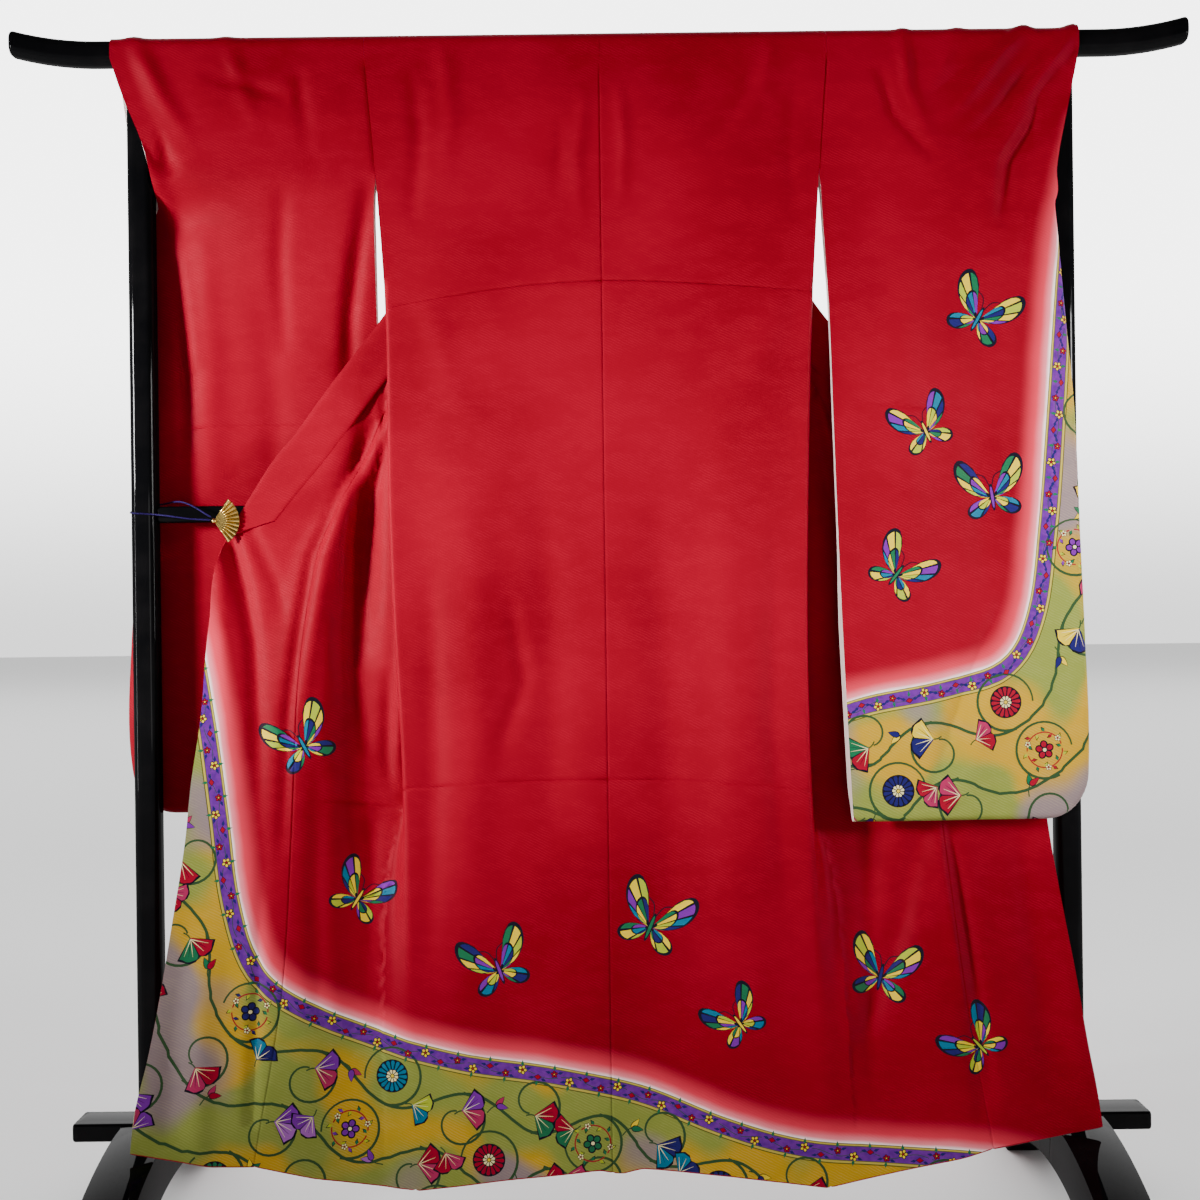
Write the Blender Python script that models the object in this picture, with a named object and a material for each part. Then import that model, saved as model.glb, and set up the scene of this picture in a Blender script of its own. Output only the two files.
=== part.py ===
# Furisode, seen from its back, hung on a lacquered kimono stand.
# Metres, +Z up. X runs along the stand's bar, -Y is the side that the garment's back faces.
# The origin is on the floor, midway between the two feet.

import math

import bmesh
import bpy
import numpy as np

# Cloth and the gaps at its seams
CLOTH_WALL = 0.002
COLLAR_WALL = 0.003
SEAM_GAP = 0.0005
TOUCH_GAP = 0.0003
BAR_GAP = 0.0008
WELD_DISTANCE = 0.00002
EDGE_STRETCH = 1.25

# Stand
BAR_TOP = 1.640
BAR_HEIGHT = 0.036
BAR_HALF_DEPTH = 0.018
BAR_CORNER = 0.014
BAR_HALF_LENGTH = 0.8225
BAR_STRAIGHT = 0.700
BAR_RISE = 0.017
POST_X = 0.642
POST_SIDE = 0.0365
POST_CORNER = 0.012
MID_BAR_Z = 0.9775
MID_BAR_SIDE = 0.023
BOARD_TOP = 0.135
BOARD_HEIGHT = 0.025
BOARD_DEPTH = 0.070
BOARD_HALF_LENGTH = 0.746
FOOT_WIDTH = 0.073
FOOT_HALF_DEPTH = 0.330
FOOT_CREST = 0.133
FOOT_CURVE = 0.66
FOOT_ARCH_TOP = 0.063
FOOT_ARCH_HALF = 0.255
FOOT_TOE_HEIGHT = 0.030

# Garment
COLLAR_WIDTH = 0.055
NECK_RISE = 0.0130
NECK_DEPTH = 0.0206
SLEEVE_JOIN_LOW = 1.435
SIDE_SEAM_TOP = 1.262
OKUMI_TOP = 1.225
COLLAR_END = 0.965
FREE_EDGE_TOP = 0.945
CUFF_LOW = 1.400
CUFF_TURN = 1.418
SIDE_FOLD_QUARTER = 0.0071
INNER_FOLD_LENGTH = 0.0189
ROW_FADE_TOP = 0.50
BAR_ROW_TOP = 1.612

# Outward distance of the side seam at each height
SIDE_ROWS = {
    "height": (0.055, 0.44, 0.58, 0.85, 0.99, 1.265, 1.43, 1.612),
    "left":   (0.2600, 0.2700, 0.2757, 0.2910, 0.2955, 0.2985, 0.3105, 0.3265),
    "right":  (0.2875, 0.2747, 0.2747, 0.2755, 0.2790, 0.2900, 0.3020, 0.3160),
}
# Outward distance of the front's free edge below the collar
FREE_EDGE_ROWS = {
    "height": (0.130, 0.182, 0.245, 0.330, 0.420, 0.533, 0.600, 0.697, 0.803, 0.830, 0.895, 0.945),
    "left":   (0.636, 0.631, 0.617, 0.602, 0.589, 0.574, 0.569, 0.557, 0.550, 0.547, 0.541, 0.525),
    "right":  (0.659, 0.654, 0.645, 0.634, 0.620, 0.604, 0.596, 0.584, 0.570, 0.566, 0.551, 0.532),
}
# Outward distance of the seam between front and overlap
OKUMI_ROWS = {
    "height": (0.105, 0.330, 0.530, 0.583, 0.787, 0.878, 0.917, 1.063, 1.137, 1.225),
    "left":   (0.477, 0.442, 0.432, 0.430, 0.418, 0.404, 0.396, 0.3255, 0.2927, 0.2490),
    "right":  (0.512, 0.479, 0.458, 0.452, 0.425, 0.408, 0.399, 0.3300, 0.2960, 0.2500),
}
# Outward distance of the collar's seam
COLLAR_ROWS = {
    "height": (0.965, 1.009, 1.060, 1.109, 1.162, 1.2086, 1.2526, 1.300, 1.400, 1.500, 1.612),
    "left":   (0.457, 0.4208, 0.3785, 0.3426, 0.3010, 0.2634, 0.2347, 0.2060, 0.1550, 0.1180, 0.0870),
    "right":  (0.464, 0.4260, 0.3820, 0.3440, 0.3010, 0.2630, 0.2340, 0.2060, 0.1550, 0.1180, 0.0870),
}
# Depth of the back, of the front's first layer and of the front's outer edge
DEPTH_ROWS = {
    "height":     (0.055, 0.130, 0.250, 0.420, 0.600, 0.830, 0.980, 1.265, 1.430, 1.612),
    "back":       (-0.100, -0.096, -0.088, -0.080, -0.074, -0.066, -0.060, -0.046, -0.031, -0.0198),
    "front":      (-0.088, -0.084, -0.076, -0.068, -0.062, -0.056, -0.050, -0.036, -0.009, 0.0198),
    "left edge":  (-0.160, -0.157, -0.136, -0.106, -0.072, -0.037, -0.023, -0.022, -0.002, 0.0250),
    "right edge": (-0.118, -0.112, -0.086, -0.062, -0.046, -0.030, -0.023, -0.022, -0.002, 0.0250),
}
# The pleat behind the side seam: how far it turns, and how long its first layer is
PLEAT_ROWS = {
    "height":  (0.055, 0.130, 0.330, 0.480, 0.600, 0.787, 0.917, 1.060, 1.265, 1.450, 1.530, 1.612),
    "turn":    (0.0, 5.0, 22.0, 60.0, 120.0, 178.0, 180.0, 180.0, 180.0, 180.0, 180.0, 180.0),
    "length":  (0.012, 0.012, 0.013, 0.014, 0.017, 0.034, 0.056, 0.094, 0.145, 0.195, 0.205, 0.211),
    "open":    (0.0, 5.0, 22.0, 60.0, 120.0, 178.0, 180.0, 180.0, 180.0, 172.0, 100.0, 0.0),
}
# How far the soft folds of the opened front stand out
FOLD_ROWS = {
    "height": (0.055, 0.300, 0.600, 0.850, 1.000, 1.150, 1.250),
    "ridge":  (0.004, 0.007, 0.010, 0.012, 0.010, 0.003, 0.000),
    "valley": (0.000, 0.006, 0.010, 0.012, 0.010, 0.003, 0.000),
}
# Hem height across the garment, from the left free edge to the right one
HEM_ROWS = {
    "x":      (-0.640, -0.535, -0.475, -0.396, -0.287, -0.260, -0.149, -0.018, 0.012, 0.040,
               0.161, 0.252, 0.290, 0.472, 0.508, 0.660),
    "height": (0.130, 0.106, 0.103, 0.081, 0.062, 0.059, 0.071, 0.083, 0.077, 0.083,
               0.073, 0.061, 0.056, 0.096, 0.108, 0.137),
}
# Sleeves: inner edge, outer edge of each layer, and depth of each layer at both edges
LEFT_SLEEVE_ROWS = {
    "height":     (0.560, 0.640, 0.800, 0.980, 1.138, 1.200, 1.278, 1.348, 1.400, 1.418, 1.435, 1.480,
                   1.507, 1.538, 1.563, 1.612),
    "inner":      (0.3160, 0.3160, 0.3150, 0.3140, 0.3137, 0.3137, 0.3137, 0.3137, 0.3137, 0.3130,
                   0.3112, 0.3148, 0.3172, 0.3200, 0.3222, 0.3265),
    "near outer": (0.650, 0.655, 0.650, 0.640, 0.625, 0.6180, 0.6160, 0.6175, 0.6190, 0.6205, 0.6220,
                   0.638, 0.648, 0.660, 0.668, 0.680),
    "far outer":  (0.654, 0.664, 0.662, 0.656, 0.650, 0.648, 0.648, 0.650, 0.653, 0.654, 0.656, 0.662,
                   0.665, 0.669, 0.672, 0.680),
    "near inner depth": (0.018, 0.018, 0.018, 0.017, 0.009, -0.001, -0.016, -0.0265, -0.0300, -0.0304,
                         -0.0306, -0.0277, -0.0260, -0.0241, -0.0224, -0.0198),
    "far inner depth":  (0.036, 0.037, 0.037, 0.036, 0.028, 0.016, 0.006, -0.001, -0.0062, -0.0073,
                         -0.0082, -0.0013, 0.0030, 0.0078, 0.0117, 0.0198),
    "near outer depth": (0.024, 0.024, 0.024, 0.024, 0.024, 0.023, 0.021, 0.0185, 0.0145, 0.0020,
                         -0.0150, -0.0222, -0.0225, -0.0220, -0.0210, -0.0198),
    "far outer depth":  (0.038, 0.041, 0.041, 0.041, 0.040, 0.039, 0.037, 0.034, 0.031, 0.030, 0.028,
                         0.026, 0.025, 0.023, 0.0215, 0.0198),
}
RIGHT_SLEEVE_ROWS = {
    "height":     (0.545, 0.640, 0.800, 0.915, 1.110, 1.248, 1.380, 1.412, 1.435, 1.460, 1.500, 1.540,
                   1.563, 1.585, 1.612),
    "inner":      (0.331, 0.327, 0.3210, 0.3175, 0.3130, 0.3105, 0.3050, 0.3040, 0.3026, 0.3045, 0.3078,
                   0.3108, 0.3125, 0.3142, 0.3160),
    "near outer": (0.652, 0.657, 0.655, 0.652, 0.648, 0.639, 0.632, 0.631, 0.6293, 0.633, 0.642,
                   0.652, 0.657, 0.662, 0.667),
    "far outer":  (0.649, 0.654, 0.652, 0.649, 0.643, 0.633, 0.622, 0.616, 0.611, 0.609, 0.608,
                   0.613, 0.640, 0.655, 0.667),
    "near inner depth": (-0.094, -0.090, -0.083, -0.078, -0.068, -0.056, -0.039, -0.0338, -0.0306, -0.0290,
                         -0.0265, -0.0239, -0.0224, -0.0210, -0.0198),
    "far inner depth":  (-0.074, -0.071, -0.064, -0.060, -0.052, -0.040, -0.019, -0.0125, -0.0082, -0.0044,
                         0.0019, 0.0082, 0.0117, 0.0152, 0.0198),
    "near outer depth": (-0.083, -0.079, -0.072, -0.067, -0.058, -0.049, -0.039, -0.036, -0.034, -0.032,
                         -0.028, -0.024, -0.0224, -0.0210, -0.0198),
    "far outer depth":  (-0.066, -0.062, -0.055, -0.051, -0.043, -0.035, -0.026, -0.023, -0.020, -0.014,
                         0.002, 0.019, 0.0225, 0.0215, 0.0198),
}
SLEEVE_SIZES = {
    "left":  {"bottom": 0.558, "corner": 0.055, "rows": LEFT_SLEEVE_ROWS},
    "right": {"bottom": 0.547, "corner": 0.060, "rows": RIGHT_SLEEVE_ROWS},
}

# Clips that hold the fronts open
CLIP_ARM_X = {"left": 0.5406, "right": 0.5476}
CLIP_Z = 0.967
CLIP_REACH = 0.034
CLIP_HALF_ANGLE = 58.0
CLIP_RIBS = 11
CLIP_FAN_Y = {"left": -0.0296, "right": -0.0283}
CLIP_FAN_WALL = 0.0016
CLIP_FLUTE = 0.0009
CLIP_JAW_Y = -0.0206
CLIP_JAW_WALL = 0.0014
CLIP_PIN_RADIUS = 0.0032
CORD_DIAMETER = 0.0024
CORD_SPACING = 0.0072

COLOURS = {
    "red_silk": ((0.42, 0.010, 0.022), 0.55, 0.0),
    "lacquer": ((0.008, 0.008, 0.009), 0.12, 0.0),
    "gold": ((0.80, 0.52, 0.14), 0.28, 1.0),
    "cord": ((0.045, 0.018, 0.11), 0.7, 0.0),
}

OUTWARD = {"left": -1.0, "right": 1.0}


def clear_scene():
    for thing in list(bpy.data.objects):
        bpy.data.objects.remove(thing, do_unlink=True)


def material(name):
    found = bpy.data.materials.get(name)
    if found:
        return found
    colour, roughness, metallic = COLOURS[name]
    made = bpy.data.materials.new(name)
    made.use_nodes = True
    shader = made.node_tree.nodes["Principled BSDF"]
    shader.inputs["Base Color"].default_value = (*colour, 1.0)
    shader.inputs["Roughness"].default_value = roughness
    shader.inputs["Metallic"].default_value = metallic
    return made


def add_object(name, data, finish):
    thing = bpy.data.objects.new(name, data)
    thing.data.materials.append(material(finish))
    bpy.context.scene.collection.objects.link(thing)
    return thing


def table(rows, column, height):
    """A column of a table read at any height, eased between its rows."""
    heights = np.array(rows["height"])
    values = np.array(rows[column])
    slopes = np.gradient(values, heights)
    place = np.clip(height, heights[0], heights[-1])
    low = np.clip(np.searchsorted(heights, place, side="right") - 1, 0, len(heights) - 2)
    span = heights[low + 1] - heights[low]
    f = (place - heights[low]) / span
    ease = f * f * (3.0 - 2.0 * f)
    bend = f * (1.0 - f) * ((1.0 - f) * slopes[low] - f * slopes[low + 1]) * span
    straight = values[low] + (values[low + 1] - values[low]) * ease
    return straight + bend


def smooth(low, high, value):
    f = np.clip((value - low) / (high - low), 0.0, 1.0)
    return f * f * (3.0 - 2.0 * f)


def bump(place, centre, half_width):
    f = np.clip((place - centre) / half_width, -1.0, 1.0)
    return np.cos(f * math.pi / 2.0) ** 2


def solid_from_sheet(name, points, faces, wall, finish="red_silk"):
    """Close a one-layer sheet of quads with its wall, half of it on each side."""
    mesh = bpy.data.meshes.new(name)
    mesh.from_pydata([tuple(p) for p in points], [], faces)
    sheet = bmesh.new()
    sheet.from_mesh(mesh)
    loose = [v for v in sheet.verts if not v.link_faces]
    bmesh.ops.delete(sheet, geom=loose, context="VERTS")
    bmesh.ops.remove_doubles(sheet, verts=sheet.verts, dist=WELD_DISTANCE)
    bmesh.ops.triangulate(sheet, faces=sheet.faces, quad_method="SHORT_EDGE")
    sheet.normal_update()
    sheet.verts.index_update()
    count = len(sheet.verts)
    reach = [v.normal * (wall / 2 * min(v.calc_shell_factor(), EDGE_STRETCH)) for v in sheet.verts]
    outer = [tuple(v.co + r) for v, r in zip(sheet.verts, reach)]
    inner = [tuple(v.co - r) for v, r in zip(sheet.verts, reach)]
    walls = []
    for face in sheet.faces:
        corners = [v.index for v in face.verts]
        walls.append(tuple(corners))
        walls.append(tuple(c + count for c in reversed(corners)))
        for loop in face.loops:
            if len(loop.edge.link_faces) == 1:
                a, b = loop.vert.index, loop.link_loop_next.vert.index
                walls.append((b, a, a + count, b + count))
    sheet.free()
    closed = bpy.data.meshes.new(name + "_wall")
    closed.from_pydata(outer + inner, [], walls)
    bpy.data.meshes.remove(mesh)
    closed.shade_smooth()
    closed.set_sharp_from_angle(angle=math.radians(50.0))
    return add_object(name, closed, finish)


def quads(rows, columns, start=0, skip=None):
    """Quads between neighbouring points of a grid, numbered row by row."""
    faces = []
    for i in range(rows - 1):
        for j in range(columns - 1):
            if skip and skip(i, j):
                continue
            a = start + i * columns + j
            faces.append((a, a + 1, a + columns + 1, a + columns))
    return faces


def row_heights():
    """Heights of the rows that all panels share, from the hem to just below the bar."""
    stretches = (
        (0.060, 0.500, 8),
        (0.500, 0.895, 6),
        (0.895, FREE_EDGE_TOP, 1),
        (FREE_EDGE_TOP, COLLAR_END, 1),
        (COLLAR_END, OKUMI_TOP, 5),
        (OKUMI_TOP, SIDE_SEAM_TOP, 1),
        (SIDE_SEAM_TOP, SLEEVE_JOIN_LOW, 4),
        (SLEEVE_JOIN_LOW, BAR_ROW_TOP, 5),
    )
    heights = [stretches[0][0]]
    for low, high, count in stretches:
        heights.extend(low + (high - low) * (k + 1) / count for k in range(count))
    return np.array(heights)


def hem_height(x):
    return np.interp(x, HEM_ROWS["x"], HEM_ROWS["height"])


def with_hem(rows, hem):
    """Each row's height in a column whose hem is at the given height."""
    fade = np.clip((ROW_FADE_TOP - rows) / (ROW_FADE_TOP - rows[0]), 0.0, 1.0) ** 1.4
    return rows + (hem - rows[0]) * fade


def bar_wrap(cells):
    """Depth and height of the cloth's middle around the bar, from its near side to its far side."""
    reach = CLOTH_WALL / 2 + BAR_GAP
    radius = BAR_CORNER + reach
    arm = BAR_HALF_DEPTH - BAR_CORNER
    low = BAR_TOP - BAR_CORNER
    near = [(-arm - radius * math.cos(a), low + radius * math.sin(a))
            for a in (math.pi / 2 * k / cells for k in range(cells + 1))]
    far = [(-y, z) for y, z in reversed(near)]
    return near + far


def turned_run(start, angle_from, angle_to, length, cells):
    """Points along a run that turns evenly: a circle's arc, or a straight line where it doesn't turn."""
    turn = angle_to - angle_from
    turn = np.where(np.abs(turn) < 1e-4, 1e-4, turn)
    points = []
    for k in range(1, cells + 1):
        f = k / cells
        along = length * (np.sin(angle_from + turn * f) - np.sin(angle_from)) / turn
        deep = length * (np.cos(angle_from) - np.cos(angle_from + turn * f)) / turn
        points.append((start[0] + along, start[1] + deep))
    return points


def back_depth(out, height, side):
    """Depth of the back panel: hanging straight, with a few soft waves that grow downwards."""
    x = out * OUTWARD[side]
    hang = table(DEPTH_ROWS, "back", height)
    wave = 0.0035 * np.sin(x * 15.0 + 0.7) + 0.0025 * np.sin(x * 31.0 - height * 2.0)
    calm = smooth(0.0, 0.08, table(SIDE_ROWS, side, height) - out)
    return hang + wave * smooth(1.55, 0.60, height) * calm


def panel_depth(out, height, inner, side):
    """Depth of the opened front between its inner fold and its free edge, with its soft folds."""
    inner_out, inner_depth = inner
    edge_out = np.where(height < FREE_EDGE_TOP, table(FREE_EDGE_ROWS, side, height),
                        table(COLLAR_ROWS, side, height) + 0.069)
    edge_depth = table(DEPTH_ROWS, side + " edge", height)
    across = np.clip((out - inner_out) / np.maximum(edge_out - inner_out, 0.02), 0.0, 1.15)
    plain = inner_depth + (edge_depth - inner_depth) * across
    side_out = table(SIDE_ROWS, side, height)
    seam_out = table(OKUMI_ROWS, side, height)
    room = np.maximum(seam_out - side_out, 0.02)
    ridge = table(FOLD_ROWS, "ridge", height) * bump(out, seam_out - 0.012, 0.55 * room)
    valley = table(FOLD_ROWS, "valley", height) * bump(out, side_out + 0.40 * room, 0.38 * room)
    return plain - ridge + valley


def front_columns(height, side):
    """The front's columns at each height, from the side seam round its pleat to its inner seam.

    The first layer runs from the side seam inwards behind the back. It turns at the inner fold
    and comes out again past the side seam, where the outside of the cloth faces the near side.
    """
    turn = np.radians(table(PLEAT_ROWS, "turn", height))
    opened = np.radians(table(PLEAT_ROWS, "open", height))
    side_out = table(SIDE_ROWS, side, height)
    single = side_out - table(COLLAR_ROWS, side, height) - SIDE_FOLD_QUARTER - INNER_FOLD_LENGTH - 0.006
    first = table(PLEAT_ROWS, "length", height)
    first = first + (single - first) * smooth(1.50, 1.60, height)
    above = smooth(SIDE_SEAM_TOP, SIDE_SEAM_TOP + 0.045, height)
    start_turn = turn / 2 + (turn / 2) * above
    apex = side_apex(height, side)
    free = (side_out, table(DEPTH_ROWS, "front", height))
    start = (apex[0] + (free[0] - apex[0]) * above, apex[1] + (free[1] - apex[1]) * above)
    columns = [start]
    columns += turned_run(columns[-1], start_turn, turn, SIDE_FOLD_QUARTER, 2)
    leg_end = turned_run(columns[-1], turn, turn, first, 1)[0]
    leg_start = columns[-1]
    for f in (0.3, 0.62, 0.86, 1.0):
        columns.append((leg_start[0] + (leg_end[0] - leg_start[0]) * f,
                        leg_start[1] + (leg_end[1] - leg_start[1]) * f))
    columns += turned_run(columns[-1], turn, turn - opened, INNER_FOLD_LENGTH, 3)
    inner = columns[-1]
    seam = np.where(height < OKUMI_TOP + 1e-6, table(OKUMI_ROWS, side, height),
                    table(COLLAR_ROWS, side, height))
    for f in (0.34, 0.68, 1.0):
        out = inner[0] + (seam - inner[0]) * f
        columns.append((out, panel_depth(out, height, inner, side)))
    return columns, inner


def side_apex(height, side):
    """The outermost line of the side seam, a quarter of a turn past the back."""
    turn = np.radians(table(PLEAT_ROWS, "turn", height)) / 2
    radius = SIDE_FOLD_QUARTER / (math.pi / 2)
    out = table(SIDE_ROWS, side, height)
    start = (out - radius * np.sin(turn), back_depth(out - 0.004, height, side))
    return turned_run(start, 0.0 * turn, turn, SIDE_FOLD_QUARTER, 1)[0]


def back_columns(height, side):
    """The back's columns at each height, from the centre seam to the side seam."""
    turn = np.radians(table(PLEAT_ROWS, "turn", height)) / 2
    above = smooth(SIDE_SEAM_TOP, SIDE_SEAM_TOP + 0.045, height)
    turn = turn * (1.0 - above)
    radius = SIDE_FOLD_QUARTER / (math.pi / 2)
    apex = side_apex(height, side)
    side_out = table(SIDE_ROWS, side, height)
    shoulder = shoulder_columns(side)
    edge = side_out - radius * np.sin(np.maximum(turn, 0.0)) - SIDE_FOLD_QUARTER * above
    even = np.linspace(SEAM_GAP / 2, 1.0, 14)
    towards_bar = smooth(0.9, 1.60, height)
    columns = []
    for j in range(14):
        low_out = edge * even[j] if j else SEAM_GAP / 2 + 0.0 * height
        top_out = shoulder[j] * edge / shoulder[13]
        if j == 0:
            top_out = low_out
        out = low_out + (top_out - low_out) * towards_bar
        columns.append((out, back_depth(out, height, side)))
    start = columns[-1]
    quarter = turned_run(start, 0.0 * turn, turn, SIDE_FOLD_QUARTER, 2)
    end = (apex[0] + (quarter[1][0] - apex[0]) * above, apex[1] + (quarter[1][1] - apex[1]) * above)
    columns.append(quarter[0])
    columns.append(end)
    return columns


def shoulder_columns(side):
    """Outward distances of the back's columns on the bar, which the front's columns meet."""
    top = np.array([BAR_ROW_TOP])
    columns, _ = front_columns(top, side)
    outs = [float(column[0][0]) for column in columns]
    over = outs[:1:-1]
    neck = [SEAM_GAP / 2, over[0] / 3, over[0] * 2 / 3]
    return neck + over


def place(columns, heights, side):
    """Columns of outward distance and depth, with their heights, as points in rows."""
    sign = OUTWARD[side]
    outs = np.stack([np.broadcast_to(c[0], heights[j].shape) for j, c in enumerate(columns)], axis=1)
    deep = np.stack([np.broadcast_to(c[1], heights[j].shape) for j, c in enumerate(columns)], axis=1)
    high = np.stack(heights, axis=1)
    return np.stack([outs * sign, deep, high], axis=2)


def column_grid(columns_of, count, side):
    """Rows and columns of points for a panel whose columns follow the hem."""
    rows = row_heights()
    low = np.array([0.10])
    at_hem = columns_of(low, side)
    heights = [with_hem(rows, float(hem_height(at_hem[j][0][0] * OUTWARD[side]))) for j in range(count)]
    columns = [columns_of(heights[j], side)[j] for j in range(count)]
    return place(columns, heights, side)


def body(side):
    """Back and front in one length of cloth, laid over the bar, with the neck cut out."""
    back = column_grid(back_columns, 16, side)
    front = column_grid(lambda height, s: front_columns(height, s)[0], 13, side)
    front = front[:, ::-1]
    wrap = bar_wrap(3)
    over = []
    for k, (depth, height) in enumerate(wrap):
        f = (k + 1) / (len(wrap) + 1)
        near_x = back[-1, :, 0]
        far_x = np.concatenate([near_x[:3], front[-1, :, 0]])
        x = near_x + (far_x - near_x) * f
        over.append(np.stack([x, np.full(16, depth), np.full(16, height)], axis=1))
    far_rows = front[::-1]
    neck_fill = np.repeat(far_rows[:, :1], 3, axis=1)
    far_rows = np.concatenate([neck_fill, far_rows], axis=1)
    points = np.concatenate([back, np.array(over), far_rows], axis=0)
    neck_row = len(back) + len(wrap) - 1
    faces = quads(points.shape[0], 16, skip=lambda i, j: j < 3 and i >= neck_row)
    if side == "right":
        faces = [face[::-1] for face in faces]
    return solid_from_sheet("body_" + side, points.reshape(-1, 3), faces, CLOTH_WALL)


def okumi(side):
    """Overlap panel, sewn along the front's inner seam, from the hem up to its point."""
    rows = row_heights()
    rows = rows[rows < OKUMI_TOP + 1e-6]
    fractions = (0.0, 0.22, 0.45, 0.7, 1.0)

    def out_at(height, f):
        low = table(OKUMI_ROWS, side, height) + SEAM_GAP * (1.4 + 1.3 * bump(height, 0.95, 0.32))
        edge = np.where(height < FREE_EDGE_TOP + 1e-6, table(FREE_EDGE_ROWS, side, height),
                        table(COLLAR_ROWS, side, height) - SEAM_GAP)
        return low + (np.maximum(edge, low + 0.0006) - low) * f

    columns = []
    heights = []
    for f in fractions:
        hem = hem_height(out_at(np.array([0.11]), f)[0] * OUTWARD[side])
        height = with_hem(rows, float(hem))
        inner = front_columns(height, side)[1]
        out = out_at(height, f)
        columns.append((out, panel_depth(out, height, inner, side)))
        heights.append(height)
    points = place(columns, heights, side)
    faces = quads(points.shape[0], len(fractions))
    if side == "right":
        faces = [face[::-1] for face in faces]
    return solid_from_sheet("okumi_" + side, points.reshape(-1, 3), faces, CLOTH_WALL)


def collar_rows(side):
    """Points across the collar on one side, from its end by the clip up to the bar."""
    rows = row_heights()
    rows = rows[rows > COLLAR_END - 1e-6]
    seam = table(COLLAR_ROWS, side, rows) + SEAM_GAP
    slope = -np.gradient(table(COLLAR_ROWS, side, rows), rows)
    lean = np.arctan(slope)
    lean[0] = -0.285
    reach = np.full(len(rows), COLLAR_WIDTH)
    reach[0] = 0.0695 if side == "left" else 0.0690
    roll = np.radians(60.0 + 120.0 * smooth(BAR_ROW_TOP + 0.02, 1.470, rows))
    part = 0.0026 * (1.0 - smooth(math.radians(150.0), math.pi, roll))
    inner = front_columns(rows, side)[1]
    start_depth = panel_depth(seam, rows, inner, side)
    points = []
    for f in (0.0, 0.35, 0.7, 1.0):
        away = part + f * reach
        out = seam - away * np.cos(lean) * np.cos(roll)
        high = rows - away * np.sin(lean) * np.cos(roll)
        high[0] += 0.0009
        laid = panel_depth(out, high, inner, side)
        flat = smooth(math.radians(120.0), math.pi, roll)
        deep = start_depth + (laid - start_depth) * flat + away * np.sin(roll)
        points.append(np.stack([out * OUTWARD[side], deep, high], axis=1))
    return np.stack(points, axis=1)


def neck_rows(left_top, right_top):
    """The collar's rows around the neck, swung from one side's top row to the other's."""
    rows = []
    count = 8
    for k in range(1, count):
        f = k / count
        x = left_top[0, 0] + (right_top[0, 0] - left_top[0, 0]) * f
        rise = NECK_RISE * math.sin(math.pi * f) ** 0.25
        seam = np.array([x, NECK_DEPTH, left_top[0, 2] + rise])
        swing_left = left_top[-1] - left_top[0]
        swing_right = right_top[-1] - right_top[0]
        down = np.array([0.0, 0.030, -0.046])
        mix = abs(2.0 * f - 1.0) ** 1.5
        side_way = swing_left if f < 0.5 else swing_right
        way = side_way * mix + down * (1.0 - mix)
        way = way / np.linalg.norm(way) * COLLAR_WIDTH
        rows.append(np.array([seam + way * g for g in (0.0, 0.35, 0.7, 1.0)]))
    return np.array(rows)


def collar():
    """Collar, a folded band from one clip up round the neck and down to the other clip."""
    left = collar_rows("left")
    right = collar_rows("right")
    neck = neck_rows(left[-1], right[-1])
    points = np.concatenate([left, neck, right[::-1]], axis=0)
    faces = quads(points.shape[0], 4)
    return solid_from_sheet("collar", points.reshape(-1, 3), faces, COLLAR_WALL)


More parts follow.
